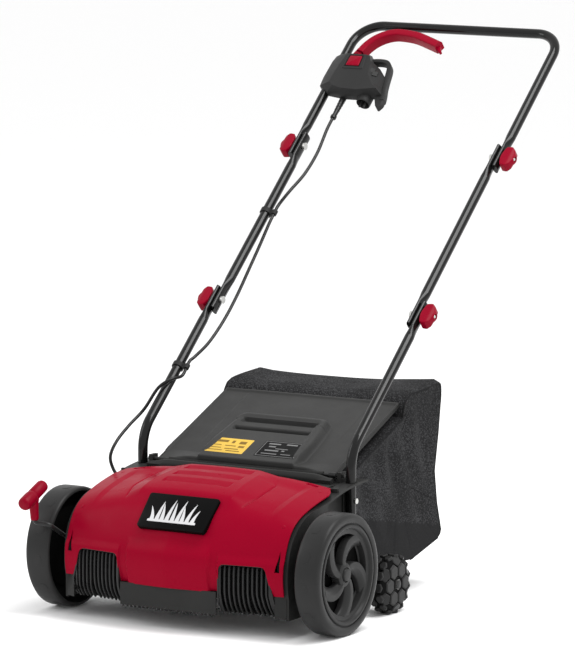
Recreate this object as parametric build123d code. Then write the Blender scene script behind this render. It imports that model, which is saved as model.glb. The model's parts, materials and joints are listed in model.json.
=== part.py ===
from build123d import *
import math
import os

# Lawn dethatcher (scarifier), millimetres, +Z up, front towards -Y, grass box and handle towards +Y.
# While it is modelled, y = 0 is the front wheels' axle and z = 0 is the lawn. keep() then moves every
# piece back by ORIGIN_Y, so that the origin is under the middle of the whole machine.

# Driving dimensions
OVERALL_WIDTH = 600.0
FRONT_WHEEL_R = 108.0
FRONT_WHEEL_W = 48.0
REAR_WHEEL_R = 53.0
REAR_WHEEL_W = 34.0
REAR_WHEEL_FACE_X = 272.0
REAR_AXLE_Y = 225.0
DECK_HALF = 229.0
POCKET_HALF = 204.0
HOOD_HALF = 221.0
WALL = 5.0
SKIN = 3.0
TUBE_R = 9.0
TUBE_WALL = 1.2
HANDLE_X = 216.0
HANDLE_Y = 153.0
HANDLE_BEND_Z = 296.0
HANDLE_LEAN = 49.3
S_LOWER = 325.0
S_UPPER = 715.0
S_GRIP = 1034.0
FLAT_T = 10.0
CABLE_D = 6.0
RUN = 0.05
GRIP_TILT = 23.0
DRUM_Y, DRUM_Z = 75.0, 62.0
BLADE_R = 55.0
BLADE_COUNT = 15
BLADE_PITCH = 24.0
MOTOR_Y, MOTOR_Z, MOTOR_R = -20.0, 166.0, 47.0
MOTOR_PULLEY_R, DRUM_PULLEY_R = 12.0, 36.0
BELT_X0, BELT_X1 = 183.0, 192.0
PARTITION_X = 175.0
CRANK = 20.0
CRANK_ANGLE = 30.0
FLAP_Y, FLAP_Z = 149.0, 250.0
FLAP_SLOPE = 22.3
FLAP_LENGTH = 256.0

# Places that follow from them
SIN_LEAN = math.sin(math.radians(HANDLE_LEAN))
COS_LEAN = math.cos(math.radians(HANDLE_LEAN))
STUB_Y, STUB_Z = 0.0, FRONT_WHEEL_R
PIVOT_Y = STUB_Y + CRANK * math.cos(math.radians(CRANK_ANGLE))
PIVOT_Z = STUB_Z + CRANK * math.sin(math.radians(CRANK_ANGLE))
WHEEL_IN = OVERALL_WIDTH / 2 - FRONT_WHEEL_W
LEVER_X = WHEEL_IN - 8.0
GRIP_X, GRIP_Y, GRIP_Z = WHEEL_IN + 23.0, -116.0, 215.5
GRIP_HALF, GRIP_R, GRIP_EDGE = 36.0, 12.0, 5.0
MID_X = HANDLE_X - FLAT_T - 0.8
REAR_Y = HANDLE_Y + S_GRIP * SIN_LEAN + TUBE_R
FRONT_Y = GRIP_Y - GRIP_EDGE - (GRIP_HALF - GRIP_EDGE) * math.cos(math.radians(GRIP_TILT)) \
    - (GRIP_R - GRIP_EDGE) * math.sin(math.radians(GRIP_TILT))
ORIGIN_Y = (FRONT_Y + REAR_Y) / 2

# The handle's own plane: local x across, y up along the tubes, z away from them on the upper side
HANDLE = Plane(origin=(0, HANDLE_Y, HANDLE_BEND_Z), x_dir=(1, 0, 0), z_dir=(0, -COS_LEAN, SIN_LEAN))

# The rim that both deck sides carry, from the front foot up and back, as y and z
RIM = [(-83, 71), (-88, 107), (-83, 141), (-73, 166), (-56, 186), (-25, 206), (19, 216), (52, 222),
       (96, 233), (150, 241), (192, 243)]


def keep(name, shape):
    """Write one piece in the finished frame."""
    moved = Pos(0, -ORIGIN_Y, 0) * shape
    export_step(moved, f"parts/{name}.step")


def bar_x(x0, x1, y, z, radius):
    """A round bar along X."""
    return Pos((x0 + x1) / 2, y, z) * Rot(0, 90, 0) * Cylinder(radius, abs(x1 - x0))


def block(x0, x1, y0, y1, z0, z1):
    """A box given by its sides."""
    centre = Pos((x0 + x1) / 2, (y0 + y1) / 2, (z0 + z1) / 2)
    return centre * Box(abs(x1 - x0), abs(y1 - y0), abs(z1 - z0))


def plate_x(outline, x0, x1):
    """A plate across X with a straight-sided outline of y and z."""
    face = make_face(Polyline(*[(x0, y, z) for y, z in outline], close=True))
    return extrude(face, amount=x1 - x0, dir=(1, 0, 0))


def plate_z(outline, z0, z1):
    """A plate with a straight-sided outline of x and y."""
    face = make_face(Polyline(*[(x, y, z0) for x, y in outline], close=True))
    return extrude(face, amount=z1 - z0, dir=(0, 0, 1))


def both(shape):
    """A shape and its mirror image on the other side of the machine."""
    return [shape, mirror(shape, about=Plane.YZ)]


def offset_line(points, amount):
    """The same open line of y and z, moved sideways by amount (positive is outwards, up and forward)."""
    moved = []
    for i, (y, z) in enumerate(points):
        before = points[max(i - 1, 0)]
        after = points[min(i + 1, len(points) - 1)]
        dy, dz = after[0] - before[0], after[1] - before[1]
        length = math.hypot(dy, dz)
        moved.append((y - amount * dz / length, z + amount * dy / length))
    return moved


def smooth_strip(points, inner, x0, x1):
    """A strip across X between two smooth lines of y and z."""
    outer_edge = Spline(*[(x0, y, z) for y, z in points])
    inner_edge = Spline(*[(x0, y, z) for y, z in inner])
    ends = [Line(outer_edge @ 0, inner_edge @ 0), Line(outer_edge @ 1, inner_edge @ 1)]
    face = make_face(Wire([outer_edge, ends[1], inner_edge, ends[0]]))
    return extrude(face, amount=x1 - x0, dir=(1, 0, 0))


# ---------------------------------------------------------------- deck

def deck_side():
    """The right side of the deck: front wall, wheel pocket, rim, rear axle arm and tube seat."""
    front = [(-83, 34), *RIM[:8], (52, 34)]
    wall = plate_x(front, DECK_HALF - WALL, DECK_HALF)
    web = block(POCKET_HALF - WALL, DECK_HALF, 47, 52, 34, 218)
    back = [(47, 34), (47, 217), *RIM[7:], (192, 120), (205, 84), (246, 84), (246, 34)]
    pocket = plate_x(back, POCKET_HALF - WALL, POCKET_HALF)
    rim = smooth_strip(RIM[:8], offset_line(RIM[:8], -4.0), DECK_HALF - 22, DECK_HALF)
    rim += smooth_strip(RIM[6:], offset_line(RIM[6:], -4.0), POCKET_HALF - WALL, DECK_HALF)
    arm = bar_x(POCKET_HALF, REAR_WHEEL_FACE_X - REAR_WHEEL_W - 1.0, REAR_AXLE_Y, REAR_WHEEL_R, 13)
    seat = block(POCKET_HALF, HANDLE_X - TUBE_R, 141, 165, 185, 236)
    side = wall + web + pocket + rim + arm + seat
    side -= Pos(HANDLE_X, HANDLE_Y, 240) * Cylinder(TUBE_R + 0.4, 40)
    side -= bar_x(POCKET_HALF - 20, 260, REAR_AXLE_Y, REAR_WHEEL_R, 5.0 + RUN)
    side -= bar_x(POCKET_HALF - 20, 260, PIVOT_Y, PIVOT_Z, 6.0 + RUN)
    side -= bar_x(POCKET_HALF - 20, 260, DRUM_Y, DRUM_Z, 9.5)
    side -= bar_x(POCKET_HALF - 20, POCKET_HALF + 20, HANDLE_Y, 209, 2.6)
    return side


def deck_lip():
    """The black lip under the hood, with windows for the grilles and a fine comb along its foot."""
    outer = [(-225, -84), (-203, -94), (-97, -111), (97, -111), (203, -94), (225, -84)]
    inner = [(x, y + SKIN) for x, y in reversed(outer)]
    lip = plate_z(outer + inner, 37, 77)
    for side in (-1, 1):
        lip -= block(side * 98, side * 206, -118, -60, 30, 90)
    teeth = [block(x - 2, x + 2, -110.5, -108.5, 34, 39) for x in range(-92, 93, 8)]
    for tooth in teeth:
        lip += tooth
    return lip


def drum_tunnel():
    """The half-round tunnel over the drum and the chute that throws the thatch back into the box."""
    outer_r, inner_r = BLADE_R + 12.0, BLADE_R + 8.0
    x0, x1 = -POCKET_HALF + WALL, POCKET_HALF - WALL
    tunnel = bar_x(x0, PARTITION_X, DRUM_Y, DRUM_Z, outer_r)
    tunnel -= bar_x(x0 - 1, x1 + 1, DRUM_Y, DRUM_Z, inner_r)
    tunnel -= block(x0 - 1, x1 + 1, DRUM_Y - 90, DRUM_Y + 90, -20, 40)
    tunnel -= plate_x([(DRUM_Y + 20, DRUM_Z), (160, 70), (160, 180), (DRUM_Y + 20, 180)], x0 - 1, x1 + 1)
    ceiling = plate_x([(DRUM_Y + 17, 121), (DRUM_Y + 17, 125.5), (165, 232), (165, 227)], x0, x1)
    floor = plate_x([(137, 60), (141, 58), (170, 142), (166, 144)], x0, x1)
    skirt = block(x0, x1, 137, 141, 38, 60)
    return tunnel + ceiling + floor + skirt


def deck_inside():
    """Belt partition, motor cradle and the top panel in front of the flap."""
    partition = plate_x([(-60, 60), (-60, 192), (-40, 205), (30, 212), (120, 150), (120, 60), (90, 44), (60, 44)],
                        PARTITION_X, PARTITION_X + 4)
    partition -= bar_x(170, 185, MOTOR_Y, MOTOR_Z, 17)
    partition -= bar_x(170, 185, DRUM_Y, DRUM_Z, 9.5)
    partition -= bar_x(170, 185, PIVOT_Y, PIVOT_Z, 6.0 + RUN)
    top = block(-POCKET_HALF + WALL, POCKET_HALF - WALL, 92, 166, 233, 239)
    ledge = block(-DECK_HALF + WALL, DECK_HALF - WALL, 92, 98, 226, 239)
    inside = partition + top + ledge
    for x in (-46, 92):
        rib = plate_x([(-75, 90), (-75, 150), (45, 150), (45, 112), (12, 88)], x, x + 5)
        rib -= bar_x(x - 1, x + 6, MOTOR_Y, MOTOR_Z, MOTOR_R + 0.2)
        rib -= bar_x(x - 1, x + 6, PIVOT_Y, PIVOT_Z, 8.0)
        rib -= bar_x(x - 1, x + 6, DRUM_Y, DRUM_Z, BLADE_R + 10.0)
        inside += rib
    brace = block(-POCKET_HALF, 179, -6, 0, 66, 92)
    for x in (-64, 60):
        brace += block(x, x + 4, -109, 0, 60, 76)
    for ear in both(block(192, 199, 146, 166, 236, 258)):
        inside += ear
    inside -= bar_x(-210, 210, FLAP_Y + 4, FLAP_Z + 1, 3.0 + RUN)
    return inside + brace


def deck_housing():
    """The whole black chassis as one moulding."""
    deck = drum_tunnel() + deck_inside()
    for side in both(deck_side()):
        deck += side
    deck += deck_lip()
    deck -= bar_x(-POCKET_HALF - 5, -POCKET_HALF + 10, 100, 214, 6.0)
    for screw in hood_screws().solids():
        deck -= screw
    return deck


# ---------------------------------------------------------------- hood, grilles, badge

CROWN = [(-111, 77), (-120, 125), (-103, 172), (-52, 229), (12, 248), (83, 255)]
SIDE = [(-88, 77), (-92, 108), (-86.5, 143), (-59, 191), (-12.5, 214.6), (90, 236)]


def hood_section(x):
    """The hood's skin cut at one place across the machine."""
    share = (abs(x) / HOOD_HALF) ** 2.4
    line = [((1 - share) * a + share * b, (1 - share) * c + share * d)
            for (a, c), (b, d) in zip(CROWN, SIDE)]
    inner = offset_line(line, -SKIN)
    outside = Spline(*[(x, y, z) for y, z in line])
    inside = Spline(*[(x, y, z) for y, z in inner])
    first = Line(outside @ 0, inside @ 0)
    last = Line(outside @ 1, inside @ 1)
    return make_face(Wire([outside, last, inside, first]))


def grille_plane(side):
    """The plane of one grille's face, swept back towards the wheel."""
    angle = math.radians(15.0)
    return Plane(origin=(side * 152, -94, 87), x_dir=(math.cos(angle), side * math.sin(angle), 0),
                 z_dir=(side * math.sin(angle), -math.cos(angle), 0))


def motor_hood():
    """The red hood with its grille windows, louvre slots and badge seat."""
    stations = [-HOOD_HALF, -185, -130, -65, 0, 65, 130, 185, HOOD_HALF]
    shell = loft([hood_section(x) for x in stations])
    for side in (-1, 1):
        shell -= grille_plane(side) * Pos(0, -2, 0) * Box(112, 88, 60)
    for y in (22, 42, 62):
        shell -= block(-78, 78, y - 1.6, y + 1.6, 225, 280)
    for screw in hood_screws().solids():
        shell -= screw
    return shell


def vent_grille(side):
    """A black grille: frame, upright ribs and gaps between them."""
    width, height, depth = 110.0, 82.0, 7.0
    outline = Rectangle(width, height)
    top_corners = outline.vertices().sort_by(Axis.Y)[-2:]
    body = extrude(fillet(top_corners, 14), amount=depth)
    gaps = 12
    pitch = (width - 8.0) / gaps
    for i in range(gaps):
        x = -width / 2 + 4.0 + pitch * (i + 0.5)
        short = 8.0 if i in (0, gaps - 1) else 0.0
        body -= Pos(x, -short / 2, depth / 2) * Box(pitch - 3.6, height - 8.0 - short, depth + 2)
    return grille_plane(side) * Pos(0, 0, -depth) * body


def badge_plate():
    """A plain slanted badge with two raised grass blades, resting on the hood's slope."""
    lean = Plane(origin=(0, -82, 206), x_dir=(1, 0, 0), z_dir=(0, -math.sin(math.radians(48)),
                                                                math.cos(math.radians(48))))
    outline = make_face(Polyline((-65, -37.5), (70, -37.5), (77, 33), (-64, 33), close=True))
    plate = extrude(fillet(outline.vertices(), 7), amount=2.5)
    for x in (-14, 10):
        blade = make_face(Polyline((x - 4, -20), (x + 6, -20), (x + 16, 20), close=True))
        plate += Pos(0, 0, 2.5) * extrude(blade, amount=1.0)
    return lean * plate


def hood_screws():
    """Four screws that hold the hood down to the deck."""
    screws = []
    for x, y, z in ((204, 66, 222), (206, -62, 172)):
        screw = Pos(x, y, z) * (Pos(0, 0, 8) * Cylinder(2, 16) + Pos(0, 0, 17) * Cylinder(4, 2))
        screws += both(screw)
    return Compound(screws)


# ---------------------------------------------------------------- motor, belt and drum

def motor_pieces():
    """The motor's can, end shields, rotor, fan and pulley, all on one cross shaft."""
    can = bar_x(-60, 110, MOTOR_Y, MOTOR_Z, MOTOR_R) - bar_x(-61, 111, MOTOR_Y, MOTOR_Z, MOTOR_R - 4)
    can += bar_x(-40, 70, MOTOR_Y, MOTOR_Z, MOTOR_R - 4) - bar_x(-41, 71, MOTOR_Y, MOTOR_Z, 31)
    shields = []
    for x0, x1, hub in ((-66, -60, -72), (110, 116, 122)):
        shield = bar_x(x0, x1, MOTOR_Y, MOTOR_Z, MOTOR_R) + bar_x((x0 + x1) / 2, hub, MOTOR_Y, MOTOR_Z, 13)
        shields.append(shield - bar_x(-80, 130, MOTOR_Y, MOTOR_Z, 5 + RUN))
    rotor = bar_x(-70, 194, MOTOR_Y, MOTOR_Z, 5) + bar_x(-36, 66, MOTOR_Y, MOTOR_Z, 30)
    hub = bar_x(84, 104, MOTOR_Y, MOTOR_Z, 11)
    for i in range(9):
        vane = Pos(94, 0, 24) * Box(20, 2, 30)
        hub += Pos(0, MOTOR_Y, MOTOR_Z) * Rot(360 / 9 * i, 0, 0) * vane
    hub -= bar_x(80, 110, MOTOR_Y, MOTOR_Z, 5)
    pulley = bar_x(BELT_X0 - 1, BELT_X1 + 1, MOTOR_Y, MOTOR_Z, MOTOR_PULLEY_R)
    pulley -= bar_x(170, 200, MOTOR_Y, MOTOR_Z, 5)
    return {"motor_body": can, "motor_end_shields": Compound(shields), "motor_rotor": rotor,
            "cooling_fan": hub, "motor_pulley": pulley}


def belt_outline(grow, x0, x1):
    """The closed shape round both pulleys, grown by an amount."""
    ends = [bar_x(x0, x1, MOTOR_Y, MOTOR_Z, MOTOR_PULLEY_R + grow),
            bar_x(x0, x1, DRUM_Y, DRUM_Z, DRUM_PULLEY_R + grow)]
    reach = math.hypot(DRUM_Y - MOTOR_Y, DRUM_Z - MOTOR_Z)
    line = math.atan2(DRUM_Z - MOTOR_Z, DRUM_Y - MOTOR_Y)
    open_angle = math.acos((MOTOR_PULLEY_R - DRUM_PULLEY_R) / reach)
    corners = []
    for turn in (open_angle, -open_angle):
        way = line + turn
        small = (MOTOR_Y + (MOTOR_PULLEY_R + grow) * math.cos(way),
                 MOTOR_Z + (MOTOR_PULLEY_R + grow) * math.sin(way))
        large = (DRUM_Y + (DRUM_PULLEY_R + grow) * math.cos(way),
                 DRUM_Z + (DRUM_PULLEY_R + grow) * math.sin(way))
        corners.append((small, large))
    quad = [corners[0][0], corners[0][1], corners[1][1], corners[1][0]]
    return ends[0] + ends[1] + plate_x(quad, x0, x1)


def drive_belt():
    """The toothed belt as one closed band round the two pulleys."""
    return belt_outline(3.0, BELT_X0, BELT_X1) - belt_outline(0.1, BELT_X0 - 1, BELT_X1 + 1)


def belt_cover():
    """A tray that closes the belt side."""
    tray = belt_outline(9.0, 179.2, 197.0) - belt_outline(6.5, 178.0, 194.6)
    return tray - bar_x(175, 200, PIVOT_Y, PIVOT_Z, 9.0)


def drum_pieces():
    """The cross shaft with its blades, spacers and pulley."""
    shaft = bar_x(-222, 194, DRUM_Y, DRUM_Z, 9)
    outline = [(-16, 0), (-10, 34), (-11, 50), (-3, 54.5), (7, 40), (16, 0)]
    blades = []
    spacers = []
    for i in range(BLADE_COUNT):
        x = -180 + BLADE_PITCH * i
        arm = make_face(Polyline(*outline, close=True))
        blank = Circle(18).face() + arm + Rot(0, 0, 180) * arm - Circle(9 + RUN)
        blade = extrude(blank, amount=3.0)
        turn = Pos(x, DRUM_Y, DRUM_Z) * Rot(37.0 * i, 0, 0) * Rot(0, 90, 0)
        blades.append(turn * blade)
        if i < BLADE_COUNT - 1:
            ring = bar_x(x + 3, x + BLADE_PITCH, DRUM_Y, DRUM_Z, 14)
            spacers.append(ring - bar_x(x, x + 30, DRUM_Y, DRUM_Z, 9 + RUN))
    pulley = bar_x(BELT_X0 - 1, BELT_X1 + 1, DRUM_Y, DRUM_Z, DRUM_PULLEY_R)
    pulley -= bar_x(170, 200, DRUM_Y, DRUM_Z, 9)
    return {"drum_shaft": shaft, "drum_blades": Compound(blades), "drum_spacers": Compound(spacers),
            "drum_pulley": pulley}


def drum_bearings():
    """The two flanged bearing housings: one in the left pocket, one inside against the partition."""
    housings = []
    for x0, x1 in ((-POCKET_HALF - 16, -POCKET_HALF), (161, 175)):
        housing = bar_x(x0, x1, DRUM_Y, DRUM_Z, 23)
        housings.append(housing - bar_x(x0 - 1, x1 + 1, DRUM_Y, DRUM_Z, 9 + RUN))
    return Compound(housings)


# ---------------------------------------------------------------- wheels and axles

def spokes(count, r0, r1, x0, x1, width, sweep):
    """Curved blades between a hub and a rim, as on a turbine wheel."""
    result = None
    for i in range(count):
        start = 360 / count * i
        mid_r = (r0 + r1) / 2
        points = []
        for radius, lag in ((r0, 0.0), (mid_r, sweep * 0.35), (r1, sweep)):
            angle = math.radians(start + lag)
            points.append((x0, radius * math.cos(angle), radius * math.sin(angle)))
        line = Spline(*points)
        normal = line % 0
        face = Plane(origin=points[0], x_dir=(1, 0, 0), z_dir=normal) * Rectangle(x1 - x0, width)
        blade = Pos((x1 - x0) / 2, 0, 0) * sweep_along(face, line)
        result = blade if result is None else result + blade
    return result


def sweep_along(face, line):
    """A section carried along a line."""
    return sweep(face, path=line)


def front_wheel(side):
    """Tread ring, spoked rim and hub cap of one front wheel, with the outer face towards side."""
    x_out, x_in = OVERALL_WIDTH / 2, WHEEL_IN
    tread = bar_x(x_in, x_out - 3, 0, 0, FRONT_WHEEL_R) - bar_x(x_in - 1, x_out, 0, 0, FRONT_WHEEL_R - 8)
    wide = [e for e in tread.edges().filter_by(GeomType.CIRCLE) if e.radius > FRONT_WHEEL_R - 1]
    tread = fillet(wide, 5)
    ring_in, ring_out = FRONT_WHEEL_R - 8, FRONT_WHEEL_R - 22
    rim = bar_x(x_in, x_out, 0, 0, ring_in) - bar_x(x_in - 1, x_out, 0, 0, ring_out)
    dish = bar_x(x_out - 26, x_out - 22, 0, 0, ring_out) - bar_x(x_out - 30, x_out - 20, 0, 0, 20)
    for i in range(5):
        angle = math.radians(72 * i + 20)
        hole = bar_x(x_out - 30, x_out - 18, 58 * math.cos(angle), 58 * math.sin(angle), 15)
        dish -= hole
    hub = bar_x(x_in, x_out - 8, 0, 0, 20)
    blades = spokes(5, 18, ring_out + 1, x_out - 24, x_out - 9, 13, 38)
    rim = rim + dish + hub + blades
    rim -= bar_x(x_in - 1, x_out + 1, 0, 0, 6 + RUN)
    rim -= bar_x(x_out - 14, x_out + 1, 0, 0, 13)
    cap = bar_x(x_out - 13.9, x_out - 3, 0, 0, 12.9)
    cap = fillet(cap.edges().sort_by(Axis.X)[-1], 3)
    cap -= bar_x(x_out - 15, x_out - 9, 0, 0, 8)
    place = Pos(0, STUB_Y, STUB_Z)
    pieces = []
    for piece in (tread, rim, cap):
        piece = place * piece
        pieces.append(piece if side > 0 else mirror(piece, about=Plane.YZ))
    return pieces


def rear_wheel(side):
    """A small moulded wheel with a honeycomb face."""
    x_out, x_in = REAR_WHEEL_FACE_X, REAR_WHEEL_FACE_X - REAR_WHEEL_W
    wheel = bar_x(x_in, x_out, 0, 0, REAR_WHEEL_R)
    wide = [e for e in wheel.edges().filter_by(GeomType.CIRCLE) if e.radius > REAR_WHEEL_R - 1]
    wheel = fillet(wide, 5)
    wheel -= bar_x(x_in - 1, x_out - 8, 0, 0, REAR_WHEEL_R - 6) - bar_x(x_in - 1, x_out - 8, 0, 0, 12)
    cell = 20.0
    for row in range(-2, 3):
        for column in range(-2, 3):
            y = cell * (column + (0.5 if row % 2 else 0.0))
            z = cell * 0.866 * row
            if 14 < math.hypot(y, z) < REAR_WHEEL_R - 10:
                pit = extrude(RegularPolygon(9.4, 6), amount=2.0)
                wheel -= Pos(x_out - 1.5, y, z) * Rot(0, 90, 0) * pit
    wheel -= bar_x(x_in - 1, x_out + 1, 0, 0, 5 + RUN)
    wheel -= bar_x(x_out - 3, x_out + 1, 0, 0, 9.2)
    wheel = Pos(0, REAR_AXLE_Y, REAR_WHEEL_R) * wheel
    return wheel if side > 0 else mirror(wheel, about=Plane.YZ)


def rear_axle():
    """The straight rod that carries both rear wheels, with a riveted head in each wheel's recess."""
    reach = REAR_WHEEL_FACE_X - 2.9
    axle = bar_x(-reach, reach, REAR_AXLE_Y, REAR_WHEEL_R, 5)
    for head in both(bar_x(reach, reach + 2.4, REAR_AXLE_Y, REAR_WHEEL_R, 8.6)):
        axle += head
    return axle


def crank_web(side):
    """The flat arm between the cross rod and one wheel stub."""
    x0, x1 = side * (DECK_HALF + 4), side * (DECK_HALF + 13)
    bosses = bar_x(x0, x1, PIVOT_Y, PIVOT_Z, 10) + bar_x(x0, x1, STUB_Y, STUB_Z, 13)
    dy, dz = STUB_Y - PIVOT_Y, STUB_Z - PIVOT_Z
    nx, nz = -dz / CRANK * 10, dy / CRANK * 10
    arm = plate_x([(PIVOT_Y + nx, PIVOT_Z + nz), (STUB_Y + nx, STUB_Z + nz),
                   (STUB_Y - nx, STUB_Z - nz), (PIVOT_Y - nx, PIVOT_Z - nz)], min(x0, x1), max(x0, x1))
    return bosses + arm


def front_axle():
    """Cross rod, two crank arms, two wheel stubs and the bent depth lever, welded into one."""
    axle = bar_x(-DECK_HALF - 8, DECK_HALF + 8, PIVOT_Y, PIVOT_Z, 6)
    for side in (-1, 1):
        axle += crank_web(side)
        axle += bar_x(side * (DECK_HALF + 6), side * (OVERALL_WIDTH / 2 - 14.5), STUB_Y, STUB_Z, 6)
    end_y, end_z = GRIP_Y + 4, GRIP_Z - 50.5
    path = FilletPolyline((-LEVER_X, -3, 105), (-LEVER_X, end_y, end_z), (-GRIP_X, end_y, end_z),
                          (-GRIP_X, GRIP_Y, GRIP_Z - 20), radius=9)
    rod = sweep(Plane(origin=path @ 0, z_dir=path % 0) * Circle(4), path=path)
    return axle + rod


def depth_grip():
    """The red T grip on the end of the depth lever."""
    bar = Cylinder(GRIP_R, 2 * GRIP_HALF)
    bar = fillet(bar.edges(), GRIP_EDGE)
    bar = Pos(-GRIP_X, GRIP_Y, GRIP_Z) * Rot(-90 + GRIP_TILT, 0, 0) * bar
    low, high = (-GRIP_X, GRIP_Y + 4, GRIP_Z - 44.5), (-GRIP_X, GRIP_Y, GRIP_Z)
    way = Vector(*high) - Vector(*low)
    stem = loft([Plane(origin=low, z_dir=way) * Circle(7.5), Plane(origin=high, z_dir=way) * Circle(9.5)])
    grip = bar + stem
    return grip - front_axle()


def depth_detent_plate():
    """A notched steel plate on the deck's left wall that the depth lever clicks along."""
    x0, x1 = -DECK_HALF - 3, -DECK_HALF
    ring = bar_x(x0, x1, PIVOT_Y, PIVOT_Z, 34) - bar_x(x0 - 1, x1 + 1, PIVOT_Y, PIVOT_Z, 10)
    for i in range(5):
        angle = math.radians(100 + 20 * i)
        notch = bar_x(x0 - 1, x1 + 1, PIVOT_Y + 34 * math.cos(angle), PIVOT_Z + 34 * math.sin(angle), 3)
        ring -= notch
    return ring


# ---------------------------------------------------------------- flap and grass box

FLAP = Plane(origin=(0, FLAP_Y, FLAP_Z), x_dir=(1, 0, 0),
             z_dir=(0, -math.sin(math.radians(FLAP_SLOPE)), math.cos(math.radians(FLAP_SLOPE))))


def discharge_flap():
    """The grey rear flap: a shallow tray upside down with a raised middle and a hinge barrel."""
    skin = plate_z([(-184, 0), (184, 0), (180, FLAP_LENGTH), (-180, FLAP_LENGTH)], 0, SKIN)
    for side in (-1, 1):
        skin += plate_z([(side * 184, 0), (side * 181, 0), (side * 177, FLAP_LENGTH),
                         (side * 180, FLAP_LENGTH)], -5, SKIN)
    hump_out = loft([Pos(0, 88, 0) * Rectangle(236, 176), Pos(0, 84, 13) * Rectangle(196, 152)])
    hump_in = loft([Pos(0, 88, -0.1) * Rectangle(230, 170), Pos(0, 84, 10) * Rectangle(190, 146)])
    flap = skin + hump_out - hump_in
    for y in (112, 126):
        flap -= Pos(0, y, 11) * Box(150, 5, 8)
    flap = FLAP * flap
    notch = block(-200, 200, 140, 162, 240, FLAP_Z + 9) - block(-168, 168, 140, 162, 240, FLAP_Z + 9)
    flap -= notch
    barrel = bar_x(-160, 160, FLAP_Y + 4, FLAP_Z + 1, 5.5)
    flap += barrel
    return flap - bar_x(-210, 210, FLAP_Y + 4, FLAP_Z + 1, 3 + RUN)


def flap_label(x, width):
    """A thin blank label on the flap's raised middle."""
    outline = make_face(Polyline((x - width / 2, 16), (x + width / 2, 16), (x + width / 2, 56),
                                 (x - width / 2, 56), close=True))
    return FLAP * Pos(0, 0, 13.0) * extrude(outline, amount=0.6)


def flap_hinge_pin():
    """The pin that the flap turns on, in the deck's two ears."""
    return bar_x(-203, 203, FLAP_Y + 4, FLAP_Z + 1, 3)


def flap_spring():
    """The flap's return spring round the right end of the pin."""
    coils = [bar_x(172 + 3 * i, 174.6 + 3 * i, FLAP_Y + 4, FLAP_Z + 1, 5.4) for i in range(5)]
    spring = bar_x(171.5, 187, FLAP_Y + 4, FLAP_Z + 1, 4.6)
    for coil in coils:
        spring += coil
    return spring - bar_x(165, 195, FLAP_Y + 4, FLAP_Z + 1, 3.1)


BAG = [(171.5, 150), (171.5, 238), (388, 326), (394, 350), (437, 361), (528, 372), (531, 240), (532, 92),
       (420, 54), (300, 66)]
BAG_HALF = 189.0


def catcher_bag():
    """The fabric grass box: a thin closed skin with its mouth open to the deck's chute."""
    outer = plate_x(BAG, -BAG_HALF, BAG_HALF)
    inner_line = [(160, 157), (160, 229), (384, 320), (396, 345), (440, 356), (523, 366), (526, 240),
                  (527, 97), (419, 60), (303, 72)]
    inner = plate_x(inner_line, -BAG_HALF + 5, BAG_HALF - 5)
    return outer - inner


def catcher_frame():
    """The stiff frame round the grass box's mouth, with two hooks that hang on the deck."""
    centre = Pos(0, 169.3, 194) * Rot(90, 0, 0)
    ring = extrude(RectangleRounded(376, 88, 10), amount=4.0, both=False)
    ring -= Pos(0, 0, -1) * extrude(RectangleRounded(352, 66, 6), amount=6.0)
    return centre * Pos(0, 0, -2) * ring


# ---------------------------------------------------------------- handle

def tube(points, radius, wall, bend=55.0):
    """A bent round tube along a line of points."""
    if len(points) == 2:
        path = Line(*points)
    else:
        path = FilletPolyline(*points, radius=bend)
    end = Plane(origin=path @ 0, z_dir=path % 0)
    return sweep(end * (Circle(radius) - Circle(radius - wall)), path=path)


def flat_end(x, s0, s1, toward):
    """A tube's flattened end: round at s0, pressed flat from s0 + 22 on towards s1."""
    step = 22.0 * toward
    round_face = Circle(TUBE_R)
    flat_face = Ellipse(FLAT_T / 2, 11.2)

    def at(s, face):
        return HANDLE * Pos(x, s, 0) * Rot(-90, 0, 0) * face

    solid = loft([at(s0, round_face), at(s0 + step, flat_face)])
    solid += extrude(at(s0 + step, flat_face), amount=abs(s1 - s0 - step),
                     dir=tuple(HANDLE.y_dir * toward))
    return solid


def local_bar(x0, x1, s, n, radius):
    """A round bar across the handle, in its own plane."""
    return HANDLE * Pos((x0 + x1) / 2, s, n) * Rot(0, 90, 0) * Cylinder(radius, abs(x1 - x0))


def along(x, s0, s1, n, radius):
    """A round bar up the handle, in its own plane."""
    return HANDLE * Pos(x, (s0 + s1) / 2, n) * Rot(90, 0, 0) * Cylinder(radius, abs(s1 - s0))


def handle_point(x, s, n):
    """A point of the handle's plane in the machine's frame."""
    return tuple(HANDLE.from_local_coords(Vector(x, s, n)))


def lower_tube(side):
    """One lower tube: down in the deck's side, up, bent back and pressed flat at the joint."""
    x = side * HANDLE_X
    flat_start = S_LOWER - 52
    body = tube([(x, HANDLE_Y, 184), (x, HANDLE_Y, HANDLE_BEND_Z), handle_point(x, flat_start, 0)],
                TUBE_R, TUBE_WALL, 70.0)
    body += flat_end(x, flat_start, S_LOWER + 26, 1)
    body -= local_bar(x - 15, x + 15, S_LOWER, 0, 3.1)
    return body - bar_x(x - 15, x + 15, HANDLE_Y, 209, 2.6)


def mid_tube(side):
    """One middle tube, pressed flat at both ends, on the inner side of its neighbours."""
    x = side * MID_X
    low, high = S_LOWER + 50, S_UPPER - 50
    body = along(x, low, high, 0, TUBE_R) - along(x, low - 1, high + 1, 0, TUBE_R - TUBE_WALL)
    body += flat_end(x, low, S_LOWER - 26, -1)
    body += flat_end(x, high, S_UPPER + 26, 1)
    for s in (S_LOWER, S_UPPER):
        body -= local_bar(x - 15, x + 15, s, 0, 3.0)
    return body


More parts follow.
